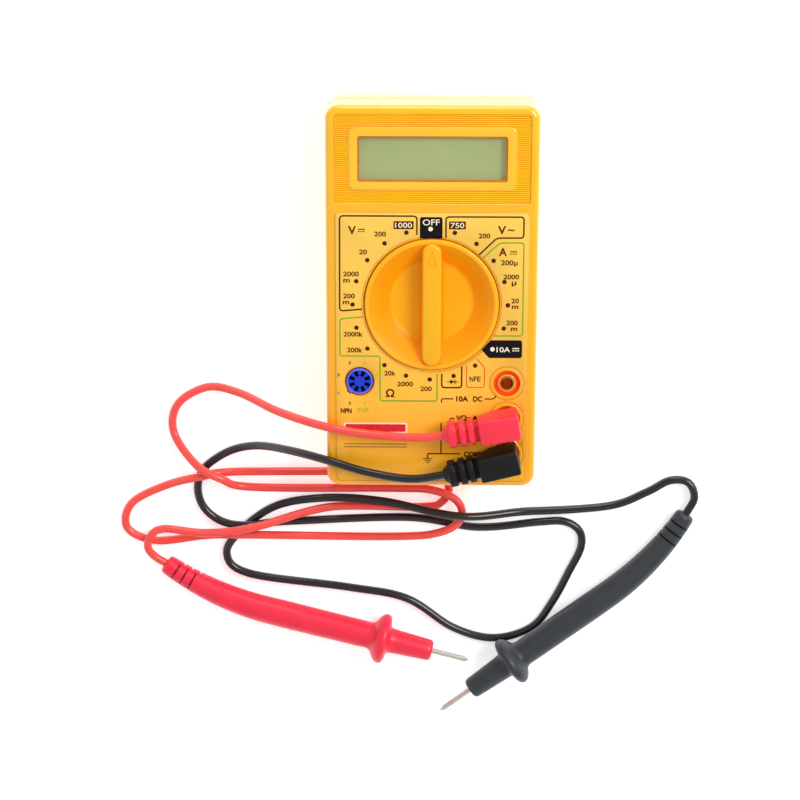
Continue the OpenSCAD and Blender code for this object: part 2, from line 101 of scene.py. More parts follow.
def material(name, rgb, rough, metallic=0.0, spread=0.06, patch=90, grain=2600, bump=0.12, depth=0.02,
             rough_spread=0.05, **sockets):
    """A surface with broad colour drift, a fine grain up to depth millimetres deep, and uneven gloss."""
    mat = bpy.data.materials.new(name)
    mat.use_nodes = True
    nodes, links = mat.node_tree.nodes, mat.node_tree.links
    shader = nodes["Principled BSDF"]
    set_sockets(shader, Metallic=metallic, **sockets)
    where = nodes.new("ShaderNodeTexCoord")

    def noise(scale, detail):
        node = nodes.new("ShaderNodeTexNoise")
        set_sockets(node, Scale=scale, Detail=detail)
        links.new(where.outputs["Object"], node.inputs["Vector"])
        return node.outputs["Fac"]

    broad, fine = noise(patch, 3), noise(grain, 2)
    ramp = nodes.new("ShaderNodeValToRGB")
    base = linear(*rgb)
    ramp.color_ramp.elements[0].position, ramp.color_ramp.elements[1].position = 0.3, 0.7
    for element, gain in zip(ramp.color_ramp.elements, (1 - spread, 1 + spread)):
        element.color = (*[min(1, c * gain) for c in base[:3]], 1)
    links.new(broad, ramp.inputs["Fac"])
    links.new(ramp.outputs["Color"], shader.inputs["Base Color"])
    gloss = nodes.new("ShaderNodeMapRange")
    set_sockets(gloss, To_Min=max(0.02, rough - rough_spread), To_Max=rough + rough_spread)
    links.new(fine, gloss.inputs["Value"])
    links.new(gloss.outputs["Result"], shader.inputs["Roughness"])
    if bump:
        relief = nodes.new("ShaderNodeBump")
        set_sockets(relief, Strength=bump, Distance=depth * MM)
        links.new(fine, relief.inputs["Height"])
        links.new(relief.outputs["Normal"], shader.inputs["Normal"])
    return mat


def paint_shade_down(mat, rgb, low, high):
    """Paints shade into a material: blends it toward another, darker colour as Y falls from high to low, in
    metres.
    """
    nodes, links = mat.node_tree.nodes, mat.node_tree.links
    base = nodes["Principled BSDF"].inputs["Base Color"]
    where, split = nodes.new("ShaderNodeTexCoord"), nodes.new("ShaderNodeSeparateXYZ")
    span, mix = nodes.new("ShaderNodeMapRange"), nodes.new("ShaderNodeMix")
    mix.data_type = "RGBA"
    links.new(where.outputs["Object"], split.inputs["Vector"])
    links.new(split.outputs["Y"], span.inputs["Value"])
    set_sockets(span, From_Min=low, From_Max=high)
    links.new(span.outputs["Result"], mix.inputs["Factor"])
    set_sockets(mix, A=linear(*rgb))
    links.new(base.links[0].from_socket, mix.inputs["B"])
    links.new(mix.outputs["Result"], base)


CASE = material("case_orange", (255, 190, 14), 0.3, spread=0.03, Specular_IOR_Level=0.35, Coat_Weight=0.9,
                Coat_Roughness=0.1)
# Copies of the case plastic: the ribs are painted a little lighter, and the recess floor between them is
# painted shade, a deeper orange.
RIB = material("rib_painted_light", (255, 198, 14), 0.4, spread=0.03, Specular_IOR_Level=0.25)
RIB_FLOOR_SHADE = material("rib_floor_painted_shade", (246, 156, 4), 0.6, spread=0.05, Specular_IOR_Level=0.2)
# Painted light: the display frame's top is a lighter, glossier copy of the case plastic.
FRAME = material("frame_painted_light", (255, 196, 50), 0.3, spread=0.03, Specular_IOR_Level=0.4)
# Painted shade: a brown-orange for the display window's sloped walls.
WINDOW_WALL_SHADE = material("window_wall_painted_shade", (196, 112, 30), 0.5, spread=0.12, patch=500)
BACK = material("back_orange", (255, 176, 6), 0.46, spread=0.04, bump=0.3, grain=1500, depth=0.05)
# Copies of one knob plastic, lit and shaded: the deeper orange on the dish's slope, the bar's sides and the
# pointer; a painted-light copy on the dish floor; a painted-highlight copy with a light coat on the rim and the
# bar's top.
KNOB = material("knob_orange", (255, 162, 2), 0.34, spread=0.03, Specular_IOR_Level=0.25)
KNOB_FLOOR_LIT = material("knob_floor_painted_light", (255, 180, 6), 0.36, spread=0.03, Specular_IOR_Level=0.25)
KNOB_RIM = material("knob_rim_painted_highlight", (255, 182, 8), 0.3, spread=0.03, Specular_IOR_Level=0.45, Coat_Weight=0.2)
# Painted shade: a deep red-orange for the case's hollows, the socket's opening and the jacks' grooves and
# bores.
HOLLOW_SHADE = material("hollow_painted_shade", (252, 84, 6), 0.45, spread=0.08)
LABEL = material("label_yellow", (255, 204, 84), 0.3, spread=0.02, patch=30, grain=4200, bump=0.05)
# Painted shade: the label and the case are painted darker toward the front, where Y is low.
paint_shade_down(LABEL, (255, 176, 24), -0.06, 0.01)
paint_shade_down(CASE, (255, 172, 4), -0.07, 0.06)
INK_EDGE = material("ink_edge", (196, 128, 26), 0.5, spread=0.15, patch=600)
INK_BROWN = material("ink_brown", (76, 32, 10), 0.6, spread=0.2, patch=600, Specular_IOR_Level=0.1)
INK_BLACK = material("ink_black", (18, 10, 20), 0.6, spread=0.2, patch=600, Specular_IOR_Level=0.15)
INK_GREEN = material("ink_green", (110, 165, 20), 0.5, spread=0.15, patch=600)
INK_LIME = material("ink_lime", (186, 184, 24), 0.5, spread=0.1, patch=600)
INK_ORANGE = material("ink_red_orange", (235, 92, 20), 0.5, spread=0.15, patch=600)
INK_RED = material("ink_red", (220, 30, 40), 0.45, spread=0.15, patch=600)
INK_PALE = material("ink_cream", (255, 240, 205), 0.5, spread=0.05, patch=600)
BLUE = material("socket_blue", (14, 52, 205), 0.32, spread=0.08, patch=400)
# Painted highlight: a lighter copy of the socket's blue plastic, for its rim.
SOCKET_RIM_LIT = material("socket_rim_painted_highlight", (96, 118, 250), 0.3, spread=0.06, patch=400)
# Painted shade: dark navy down inside the socket's slots.
DARK = material("socket_slot_painted_shade", (8, 14, 60), 0.6, spread=0.2)
PLUG_RED = material("plug_red", (252, 44, 72), 0.42, spread=0.05, patch=240, bump=0.2, grain=1800,
                    Coat_Weight=0.1)
PLUG_BLACK = material("plug_black", (12, 12, 14), 0.5, spread=0.15, patch=240, bump=0.25, grain=1800,
                      Specular_IOR_Level=0.3)
LEAD_RED = material("lead_red", (252, 78, 70), 0.3, spread=0.06, patch=160, bump=0.08, Coat_Weight=0.25)
LEAD_BLACK = material("lead_black", (20, 20, 26), 0.26, spread=0.15, patch=160, bump=0.08, Coat_Weight=0.3)
GRIP_RED = material("grip_red", (250, 36, 70), 0.4, spread=0.06, patch=200, bump=0.2, grain=1800,
                    Coat_Weight=0.08)
GRIP_SLATE = material("grip_slate", (46, 51, 58), 0.42, spread=0.1, patch=260, bump=0.3, grain=1600)
# Painted shade: darker copies of the grip plastics inside the strain-relief slots.
GRIP_SLOT_SHADE = material("grip_slot", (14, 16, 20), 0.6, spread=0.2)
RED_GRIP_SLOT_SHADE = material("grip_slot_red", (190, 8, 30), 0.5, spread=0.1)


# ---- Mesh helpers ----
UP = Vector((0, 0, 1))
CORNER_STEPS = 8
INSIDE_ONLY, MERGE_WITHIN = 1, 1e-5


def corner_box(width, length, radius, steps=6, at=(0, 0)):
    """Points round a rectangle with rounded corners, anticlockwise."""
    out = []
    for k, (sx, sy) in enumerate([(1, 1), (-1, 1), (-1, -1), (1, -1)]):
        for i in range(steps + 1):
            a = math.radians(90 * k + 90 * i / steps)
            out.append((at[0] + sx * (width / 2 - radius) + radius * math.cos(a),
                        at[1] + sy * (length / 2 - radius) + radius * math.sin(a)))
    return out


def circle(radius, count, at=(0, 0)):
    return [(at[0] + radius * math.cos(math.tau * i / count),
             at[1] + radius * math.sin(math.tau * i / count)) for i in range(count)]


def apart(a, b):
    """How far two directions are apart, in degrees."""
    return abs((a - b + 180) % 360 - 180)


def inside(at, shape):
    """Whether a point lies within a closed outline."""
    crossings = 0
    for (x0, y0), (x1, y1) in zip(shape, shape[1:] + shape[:1]):
        if (y0 > at.y) != (y1 > at.y) and at.x < x0 + (at.y - y0) * (x1 - x0) / (y1 - y0):
            crossings += 1
    return crossings % 2 == 1


class Solid:
    """Points in millimetres, and faces with a material each."""

    def __init__(self, mat):
        self.points, self.faces, self.marks, self.mats, self.mark = [], [], [], [mat], 0

    def paint(self, mat):
        """Gives the faces made from here on this material."""
        if mat not in self.mats:
            self.mats.append(mat)
        self.mark = self.mats.index(mat)

    def face(self, ids):
        self.faces.append(list(ids))
        self.marks.append(self.mark)

    def ring(self, points, z=None):
        start = len(self.points)
        self.points += [(p[0], p[1], p[2] if z is None else z) for p in points]
        return list(range(start, len(self.points)))

    def turned(self, centre, count, profile, base=0.0):
        """Circles over one another, from a profile of radii and heights above the base."""
        return [self.ring(circle(r, count, centre[:2]), base + z) for r, z in profile]

    def framed(self, size, centre, profile, base=0.0, least=0.5):
        """Rounded rectangles over one another, from a profile of insets and heights above the base."""
        width, length, radius = size
        rings = []
        for i, z in profile:
            outline = corner_box(width - 2 * i, length - 2 * i, max(least, radius - i), CORNER_STEPS, centre)
            rings.append(self.ring(outline, base + z))
        return rings

    def bridge(self, a, b):
        for i in range(len(a)):
            j = (i + 1) % len(a)
            self.face((a[i], a[j], b[j], b[i]))

    def loft(self, rings, ends=(False, False)):
        for a, b in zip(rings, rings[1:]):
            self.bridge(a, b)
        for ring, closed in zip((rings[0], rings[-1]), ends):
            if closed:
                self.face(ring)

    def plate(self, outer, holes=()):
        """Fills between an outline and its holes, all of them rings already made at one height."""
        loops = [outer, *holes]
        ids = [i for loop in loops for i in loop]
        flat = [Vector(self.points[i][:2]) for i in ids]
        edges, start = [], 0
        for loop in loops:
            edges += [(start + i, start + (i + 1) % len(loop)) for i in range(len(loop))]
            start += len(loop)
        spots, _, faces, origin, _, _ = delaunay_2d_cdt(flat, edges, [], INSIDE_ONLY, MERGE_WITHIN)
        open_shapes = [[self.points[i][:2] for i in loop] for loop in holes]
        for f in faces:
            at = sum((spots[i] for i in f), Vector((0, 0))) / len(f)
            if not any(inside(at, shape) for shape in open_shapes):
                self.face([ids[origin[i][0]] for i in f])

    def prism(self, outline, z0, z1):
        low, high = self.ring(outline, z0), self.ring(outline, z1)
        self.bridge(low, high)
        self.plate(high)
        self.plate(low)

    def moved(self, matrix):
        self.points = [tuple(matrix @ Vector(p)) for p in self.points]
        return self

    def make(self, name, body, slot, nodes=(), sharp=38):
        """Puts the solid in the scene, shaded smooth except where it turns by more than the sharp angle."""
        data = bpy.data.meshes.new(name)
        data.from_pydata([[c * MM for c in p] for p in self.points], [], self.faces)
        for mat in self.mats:
            data.materials.append(mat)
        data.polygons.foreach_set("material_index", self.marks)
        work = bmesh.new()
        work.from_mesh(data)
        bmesh.ops.remove_doubles(work, verts=work.verts, dist=1e-7)
        bmesh.ops.recalc_face_normals(work, faces=work.faces)
        work.to_mesh(data)
        work.free()
        data.polygons.foreach_set("use_smooth", [True] * len(data.polygons))
        data.set_sharp_from_angle(angle=math.radians(sharp))
        obj = added(name, data)
        if body:
            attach(obj, body)
        if nodes:
            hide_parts(*nodes)
        return obj


# ---- Places read from the frame ----
CASE_LO, CASE_HI = box_mm("front_case")
BACK_LO, BACK_HI = box_mm("rear_case")
LABEL_LO, LABEL_HI = box_mm("front_label")
FACE_Z, LABEL_Z = LABEL_LO[2], LABEL_HI[2]
REAR_LIP, FACE_T, CASE_CORNER = 1.2, 2.4, 4.5
SPLIT_Z = BACK_HI[2] - REAR_LIP
FACE_UNDER = FACE_Z - FACE_T
CASE_SIZE = (CASE_HI[0] - CASE_LO[0], CASE_HI[1] - CASE_LO[1], CASE_CORNER)
LABEL_W, LABEL_L = LABEL_HI[0] - LABEL_LO[0], LABEL_HI[1] - LABEL_LO[1]
LABEL_AT = ((LABEL_LO[0] + LABEL_HI[0]) / 2, (LABEL_LO[1] + LABEL_HI[1]) / 2)
KNOB_AT = middle("range_knob")
KNOB_LO, KNOB_HI = box_mm("range_knob")
LCD_AT = middle("lcd_cover")
SOCKET_AT = middle("socket_contacts")
JACKS = [middle(n) for n in ("jack_10a", "jack_volt", "jack_com")]
KNOB_R = 21.4
KEY_ANGLE, KEY_HALF = 225, 11


def keyed(radius, key=0.5, count=96):
    """A circle with the transistor socket's key on its rim."""
    out = []
    for i in range(count):
        a = math.tau * i / count
        r = radius + (key if apart(math.degrees(a), KEY_ANGLE) < KEY_HALF else 0)
        out.append((SOCKET_AT[0] + r * math.cos(a), SOCKET_AT[1] + r * math.sin(a)))
    return out


# ---- Cords ----
LEAD_D = 2.8
LEAD_SIDES, LEAD_STEP = 14, 1.6
# Points each lead passes through, from its plug to its probe
RED_ROUTE = [
    [6.2, -42.6, 33.5], [-4, -44, 32.6], [-20, -43.8, 30], [-34, -42, 28], [-50, -40.4, 17],
    [-64, -37.4, 5.4], [-75, -36.6, 1.5], [-85, -42.6, 1.4], [-86.6, -52.6, 1.4],
    [-79, -62.4, 6.2], [-70.5, -67.4, 6.6], [-60, -71.8, 1.8], [-14, -71.8, 1.8],
    [0.6, -71.6, 4.3], [9.2, -75.6, 4.5], [10.2, -82, 4.6], [3, -87, 4], [-14, -89.4, 1.4],
    [-64.5, -88, 4.5], [-78, -89.6, 1.4], [-94, -91.4, 1.4], [-103.4, -86.8, 1.4],
    [-101.6, -78, 1.4], [-90, -71.4, 2], [-77.5, -67.2, 4.8], [-64, -66.4, 1.4], [-10, -66, 1.4],
    [-1.4, -66.1, 1.4], [4.4, -68.2, 1.4], [6.2, -72.6, 1.4], [3.6, -77, 1.4], [-3, -78.6, 1.4],
    [-34, -78.8, 1.6], [-60, -84.4, 7.4], [-76, -87, 5.8], [-90.6, -86, 4.6], [-95.2, -88.8, 4.6],
    [-96.2, -93, 4.3], [-93.9, -96.4, 3.8], [-90.36, -98.84, 3.4]]
BLACK_ROUTE = [
    [6.4, -56, 33.5], [-6, -58.2, 32.4], [-20, -57, 29.8], [-34, -53.5, 27.6], [-46, -53, 19.5],
    [-58, -55, 8], [-68, -59, 1.8], [-76.4, -65, 1.4], [-79, -72, 1.4], [-77, -79.4, 1.4],
    [-70.5, -84.4, 1.8], [-61, -84.6, 4.6], [-50, -84.2, 1.5], [-8, -82.4, 1.4], [16, -85.8, 1.4],
    [37, -83.8, 1.4], [45.6, -83.6, 1.4], [50.8, -87, 1.4], [51.4, -93, 1.4], [47.6, -101.6, 1.4],
    [42, -113, 1.4], [35, -122.4, 1.4], [22, -126.4, 1.4], [8, -122.6, 1.4], [-8, -112, 1.4],
    [-28, -108, 1.4], [-62, -103.2, 1.4], [-69.6, -95.6, 1.4], [-63.4, -86.4, 1.4],
    [-52, -78.4, 1.4], [-36, -75.6, 1.4], [-16, -75.8, 4], [10, -79.8, 7.6], [32, -80, 1.6],
    [60, -78, 1.4], [73, -73, 1.4], [80.8, -68.6, 1.7], [87, -69, 2.2], [89.3, -74.2, 2.9],
    [86.62, -79.78, 3.4]]


def smooth_line(route, spacing):
    """Points along a smooth line through the route, kept on the bench."""
    pts = [Vector(p) for p in route]
    ends = [2 * pts[0] - pts[1], *pts, 2 * pts[-1] - pts[-2]]
    out = []
    for a, b, c, d in zip(ends, ends[1:], ends[2:], ends[3:]):
        count = max(1, round((c - b).length / spacing))
        for k in range(count):
            t = k / count
            q = 2 * b + (c - a) * t + (2 * a - 5 * b + 4 * c - d) * t * t + (3 * b - a - 3 * c + d) * t ** 3
            q = 0.5 * q
            q.z = max(q.z, LEAD_D / 2)
            out.append(q)
    out.append(pts[-1])
    return out


def tube(solid, line, radius, sides):
    """A round tube along a line, closed at both ends."""
    around = [math.tau * k / sides for k in range(sides)]
    rings = []
    for i, p in enumerate(line):
        along = (line[min(i + 1, len(line) - 1)] - line[max(i - 1, 0)]).normalized()
        u = UP.cross(along).normalized()
        v = along.cross(u)
        rings.append(solid.ring([p + radius * (math.cos(a) * u + math.sin(a) * v) for a in around]))
    solid.loft(rings, (True, True))


def lead(name, route, mat, slot, node):
    """A lead's mesh, with its middle line and length in millimetres."""
    line = smooth_line(route, LEAD_STEP)
    solid = Solid(mat)
    tube(solid, line, LEAD_D / 2, LEAD_SIDES)
    obj = solid.make(name, None, slot, [node])
    length = sum((b - a).length for a, b in zip(line, line[1:]))
    return obj, line, length


red_lead = lead("red_lead", RED_ROUTE, LEAD_RED, "lead_red", "red_cord")
black_lead = lead("black_lead", BLACK_ROUTE, LEAD_BLACK, "lead_black", "black_cord")


# ---- Front half of the case ----
# Profiles are steps of an inset or a radius, and a height above the face unless a comment says otherwise
WALL, BEVEL, BEVEL_STEPS, BEVEL_RUN_IN = 2.2, 2.0, 8, 0.5
SEAM = [(0.3, 0), (0.04, 0.28), (0, 0.6)]  # height away from the seam between the halves
KNOB_HOLE = [(-0.35, 0), (-0.1, -0.1), (0, -0.35)]
KNOB_GAP = 0.4
SOCKET_HOLE = [(0, 0), (0, -0.7), (0.35, -0.75)]
SOCKET_HOLE_R = 4.75
JACK_SIDES = 64
JACK_COLLAR = [(5.4, 0), (5.4, 0.3), (5.25, 0.45), (5.05, 0.5), (4.55, 0.5), (4.38, 0.42), (4.3, 0.2)]
JACK_GROOVE = [(4.25, -0.7), (4.1, -0.95), (3.15, -0.95), (3.0, -0.75), (2.95, -0.35)]
JACK_MOUTH = [(2.92, -0.2), (2.8, -0.12), (2.5, -0.12), (2.45, -0.2)]
JACK_BACK = [(2.45, -2.2), (5.4, -2.2), (5.4, 0)]  # height above the face's underside
# Width, length and corner radius
RECESS, DISPLAY_FRAME, WINDOW = (62.4, 28.6, 1.25), (53.4, 20.5, 2.2), (47.6, 14.6, 0.8)
WINDOW_FOOT, SHAFT = (47.6, 14.6, 0.6), (47.2, 14.1, 0.6)
RECESS_WALL = [(-0.12, 0), (0, -0.12), (0.02, -0.55)]
FRAME_DROP = 0.02
# Height above the display frame's top
FRAME_SIDE = [(0.02, -0.3), (0.2, -0.14), (0.6, -0.03)]
FRAME_TOP = [(1.2, 0), (1.8, 0), (2.4, -0.08)]
WINDOW_RIM = [(0, -0.14), (0, -0.22)]
WINDOW_SLOPE = [(0.1, -0.4), (0.65, -0.6), (0.65, -0.65)]
SHAFT_TOP = -0.66
# Ribs in the recess: distance along the meter and height above the recess floor
RIB_PROFILE = [(-0.24, -0.05), (-0.2, 0.2), (-0.08, 0.3), (0.08, 0.3), (0.2, 0.2), (0.24, -0.05)]
RIB_PITCH, RIB_CORNER, RIB_END_GAP, RIB_SIDE_GAP = 0.66, 1.2, 0.1, 0.3
RIB_TUCK, RIB_TUCK_MAX, RIB_CLEAR, FRAME_STRAIGHT = 0.3, 2.0, 0.2, 8.2


def front_case():
    s = Solid(CASE)
    at = (0, (CASE_LO[1] + CASE_HI[1]) / 2)
    walls = [(WALL, SPLIT_Z)] + [(i, SPLIT_Z + z) for i, z in SEAM] + [(0, FACE_Z - BEVEL - BEVEL_RUN_IN)]
    for k in range(1, BEVEL_STEPS):
        a = math.radians(90 * k / BEVEL_STEPS)
        walls.append((BEVEL * (1 - math.cos(a)), FACE_Z - BEVEL + BEVEL * math.sin(a)))
    walls.append((BEVEL, FACE_Z))
    rings = s.framed(CASE_SIZE, at, walls)
    s.loft(rings)
    underside = s.framed(CASE_SIZE, at, [(WALL, FACE_UNDER)])[0]
    s.loft([rings[0], underside])
    holes, under = [], []

    def hole(shape, profile):
        """A wall down through the face, where shape(inset) is the outline at each step."""
        made = [s.ring(shape(inset), FACE_Z + z) for inset, z in profile]
        made.append(s.ring(shape(profile[-1][0]), FACE_UNDER))
        s.loft(made)
        holes.append(made[0])
        under.append(made[-1])

    hole(lambda inset: circle(KNOB_R + KNOB_GAP - inset, 96, KNOB_AT[:2]), KNOB_HOLE)
    # Painted shade on the wall round the transistor socket.
    s.paint(HOLLOW_SHADE)
    hole(lambda inset: keyed(SOCKET_HOLE_R - inset), SOCKET_HOLE)
    for jack in JACKS:
        s.paint(CASE)
        collar = s.turned(jack, JACK_SIDES, JACK_COLLAR, FACE_Z)
        s.loft(collar)
        holes.append(collar[0])
        # Painted shade in the jack's groove.
        s.paint(HOLLOW_SHADE)
        groove = collar[-1:] + s.turned(jack, JACK_SIDES, JACK_GROOVE, FACE_Z)
        s.loft(groove)
        s.paint(CASE)
        mouth = groove[-1:] + s.turned(jack, JACK_SIDES, JACK_MOUTH, FACE_Z)
        back = s.turned(jack, JACK_SIDES, JACK_BACK, FACE_UNDER)
        s.loft(mouth)
        # Painted shade down the jack's bore.
        s.paint(HOLLOW_SHADE)
        s.loft([mouth[-1], back[0]])
        s.paint(CASE)
        s.loft(back)
        under.append(back[-1])

    # The ribbed recess, the smooth frame standing in it and the window through that
    lcd = LCD_AT[:2]
    floor_z, frame_z = FACE_Z + RECESS_WALL[-1][1], FACE_Z - FRAME_DROP
    recess = s.framed(RECESS, lcd, RECESS_WALL, FACE_Z)
    s.loft(recess)
    holes.append(recess[0])
    side = s.framed(DISPLAY_FRAME, lcd, [(0, floor_z)]) + s.framed(DISPLAY_FRAME, lcd, FRAME_SIDE, frame_z)
    top = side[-1:] + s.framed(DISPLAY_FRAME, lcd, FRAME_TOP, frame_z)
    top += s.framed(WINDOW, lcd, WINDOW_RIM, frame_z)
    s.loft(side)
    # Painted light: the frame's top takes the lighter copy of the case plastic.
    s.paint(FRAME)
    s.loft(top)
    # Painted shade on the window's sloped walls.
    s.paint(WINDOW_WALL_SHADE)
    slope = top[-1:] + s.framed(WINDOW_FOOT, lcd, WINDOW_SLOPE, frame_z, WINDOW_FOOT[2])
    s.loft(slope)
    s.paint(CASE)
    shaft = slope[-1:] + s.framed(SHAFT, lcd, [(0, frame_z + SHAFT_TOP), (0, FACE_UNDER)])
    s.loft(shaft)
    under.append(shaft[-1])
    # Painted shade: the recess floor between the ribs takes the deeper orange copy.
    s.paint(RIB_FLOOR_SHADE)
    s.plate(recess[-1], [side[0]])
    s.paint(CASE)
    s.plate(rings[-1], holes)
    s.plate(underside, under)

    # Ribs across the recess floor, in the copy of the case plastic painted a little lighter
    s.paint(RIB)
    half_w, half_l = RECESS[0] / 2 - RIB_END_GAP, RECESS[1] / 2 - RIB_SIDE_GAP
    count = int(2 * half_l / RIB_PITCH)
    for k in range(count + 1):
        y = -half_l + (2 * half_l) * k / count
        past = max(0.0, abs(y) - (RECESS[1] / 2 - RECESS[2]))
        reach = half_w - (RIB_CORNER - math.sqrt(max(0.0, RIB_CORNER ** 2 - past * past)))
        tuck = DISPLAY_FRAME[0] / 2 - RIB_TUCK - max(0.0, min(RIB_TUCK_MAX, abs(y) - FRAME_STRAIGHT))
        clear = abs(y) > DISPLAY_FRAME[1] / 2 + RIB_CLEAR
        for span in [(-reach, reach)] if clear else [(-reach, -tuck), (tuck, reach)]:
            ends = []
            for x in span:
                ends.append(s.ring([(lcd[0] + x, lcd[1] + y + dy, floor_z + dz) for dy, dz in RIB_PROFILE]))
            s.loft(ends, (True, True))
    return s.make("case_front", "meter", "case_plastic", ["front_case"])


front_case()


# ---- Rear half of the case ----
BACK_T, TAPER_Z = 2.0, 4.0
TAPER = [(0, 0.6), (0.08, 0), (0.5, -0.8)]  # height above TAPER_Z
FOOT = [(2.14, 0.6), (2.3, 0.3), (2.42, 0.1), (2.55, 0)]  # height above the bench
SCREW_HEAD_R, PIT_R, PIT_TOP = 2.15, 2.2, 8.85
GROOVE_W, GROOVE_L, GROOVE_CORNER, GROOVES, GROOVES_Y, GROOVE_PITCH = 30, 1, 0.48, 9, 44.5, 2.2
GROOVE = [(-0.1, 0), (0, 0.08), (0.02, 0.5), (0.3, 0.6)]  # loss of width, height above the bench


def rear_case():
    s = Solid(CASE)
    at = (0, (BACK_LO[1] + BACK_HI[1]) / 2)
    sides = [(WALL, BACK_T), (WALL, SPLIT_Z)] + [(i, SPLIT_Z - z) for i, z in SEAM]
    rings = s.framed(CASE_SIZE, at, sides + [(i, TAPER_Z + z) for i, z in TAPER] + FOOT)
    s.loft(rings)
    s.paint(BACK)
    s.plate(rings[0])
    holes = []
    lo, hi = box_mm("case_screws")
    low_y = lo[1] + SCREW_HEAD_R
    for screw in ((0, hi[1] - SCREW_HEAD_R), (lo[0] + SCREW_HEAD_R, low_y), (hi[0] - SCREW_HEAD_R, low_y)):
        pit = s.turned(screw, 40, [(PIT_R, 0), (PIT_R, PIT_TOP)])
        s.loft(pit, (False, True))
        holes.append(pit[0])
    for k in range(GROOVES):
        y = GROOVES_Y + GROOVE_PITCH * (k - GROOVES // 2)
        groove = [s.ring(corner_box(GROOVE_W - i, GROOVE_L - i, GROOVE_CORNER - i / 2, 4, (0, y)), z)
                  for i, z in GROOVE]
        s.loft(groove, (False, True))
        holes.append(groove[0])
    s.plate(rings[-1], holes)
    return s.make("case_rear", "meter", "case_plastic", ["rear_case"])


rear_case()


# ---- Label and its printing ----
LABEL_CORNER, LABEL_EDGE, LABEL_EDGE_DROP = 1.5, 0.08, 0.06
LABEL_KNOB_GAP, LABEL_SOCKET_R, LABEL_JACK_R = 0.9, 4.9, 5.5


def label():
    s = Solid(LABEL)
    shapes = [lambda i: corner_box(LABEL_W - 2 * i, LABEL_L - 2 * i, LABEL_CORNER - i, 6, LABEL_AT),
              lambda i: circle(KNOB_R + LABEL_KNOB_GAP + i, 96, KNOB_AT[:2]),
              lambda i: keyed(LABEL_SOCKET_R + i)]
    shapes += [lambda i, j=j: circle(LABEL_JACK_R + i, JACK_SIDES, j[:2]) for j in JACKS]
    tops, bottoms = [], []
    for shape in shapes:
        rings = [s.ring(shape(0), FACE_Z), s.ring(shape(0), LABEL_Z - LABEL_EDGE_DROP),
                 s.ring(shape(LABEL_EDGE), LABEL_Z)]
        s.loft(rings)
        tops.append(rings[-1])
        bottoms.append(rings[0])
    s.plate(tops[0], tops[1:])
    s.plate(bottoms[0], bottoms[1:])
    return s.make("label", "meter", "label_film", ["front_label"])


label()

PRINT_STEP = 0.02
MARK_R, MARK_RING_R, MARKS = 0.74, 24.92, 20
BLOCK_LINE, DC_LINE, GROUP_LINE, SIGN_LINE, EDGE_LINE = 0.42, 0.36, 0.5, 0.3, 0.16
INK_MATS = {"brown": INK_BROWN, "black": INK_BLACK, "green": INK_GREEN, "lime": INK_LIME,
            "orange": INK_ORANGE, "cream": INK_PALE, "red": INK_RED, "blockbrown": INK_BROWN,
            "edge": INK_EDGE}
inks = {name: Solid(mat) for name, mat in INK_MATS.items()}


def ink_level(ink):
    """Cream lies over the other inks, and red over cream."""
    low = LABEL_Z + (PRINT_STEP if ink == "cream" else 0)
    return low, low + PRINT_STEP


def write(text, x, y, height, width, ink="brown", weight=0.026):
    """Flat lettering centred at x, y, made to the given height and width."""
    curve = bpy.data.curves.new("lettering", "FONT")
    curve.body, curve.resolution_u, curve.extrude, curve.offset = text, 3, 0.01, weight
    holder = bpy.data.objects.new("lettering", curve)
    data = holder.to_mesh()
    spots = [v.co.copy() for v in data.vertices]
    xs, ys = [p.x for p in spots], [p.y for p in spots]
    cx, cy = (max(xs) + min(xs)) / 2, (max(ys) + min(ys)) / 2
    kx, ky = width / (max(xs) - min(xs)), height / (max(ys) - min(ys))
    low, high = ink_level(ink)
    s = inks[ink]
    start = len(s.points)
    s.points += [(x + (p.x - cx) * kx, y + (p.y - cy) * ky, high if p.z > 0 else low) for p in spots]
    for f in data.polygons:
        s.face([start + i for i in f.vertices])
    holder.to_mesh_clear()
    bpy.data.objects.remove(holder)
    bpy.data.curves.remove(curve)


def patch(outline, ink):
    low, high = ink_level(ink)
    inks[ink].prism(outline, low, high)


def stroke(path, ink="brown", width=GROUP_LINE, radius=0.9, closed=False):
    """A printed line along a path, with its inner corners rounded."""
    pts = [Vector(p) for p in path]
    line = []
    n = len(pts)
    for i, p in enumerate(pts):
        if not closed and i in (0, n - 1):
            line.append(p)
            continue
        a, b = pts[i - 1], pts[(i + 1) % n]
        da, db = (a - p).normalized(), (b - p).normalized()
        cut = min(radius, (a - p).length / 2, (b - p).length / 2)
        line += [(1 - t) ** 2 * (p + da * cut) + 2 * t * (1 - t) * p + t * t * (p + db * cut)
                 for t in (0, 0.25, 0.5, 0.75, 1)]
    low, high = ink_level(ink)
    s = inks[ink]
    m = len(line)
    rings = []
    for i, p in enumerate(line):
        before = line[i - 1] if (closed or i) else p
        after = line[(i + 1) % m] if (closed or i < m - 1) else p
        into, away = p - before, after - p
        if not into.length:
            into = away
        if not away.length:
            away = into
        d = (into.normalized() + away.normalized()).normalized()
        side = Vector((-d.y, d.x)) * width / 2
        left, right = p + side, p - side
        rings.append(s.ring([(*left, low), (*right, low), (*right, high), (*left, high)]))
    if closed:
        s.loft(rings + rings[:1])
    else:
        s.loft(rings, (True, True))


def dc_mark(x, y, ink="brown", width=2.2):
    """A full line over a dashed one."""
    stroke([(x - width / 2, y + 0.3), (x + width / 2, y + 0.3)], ink, DC_LINE)
    for k in (-1, 0, 1):
        dash_x = x + k * width * 0.37
        stroke([(dash_x - 0.26, y - 0.45), (dash_x + 0.26, y - 0.45)], ink, DC_LINE)


def box_patch(x0, x1, y0, y1, ink, radius=0.3):
    patch(corner_box(x1 - x0, y1 - y0, radius, 3, ((x0 + x1) / 2, (y0 + y1) / 2)), ink)


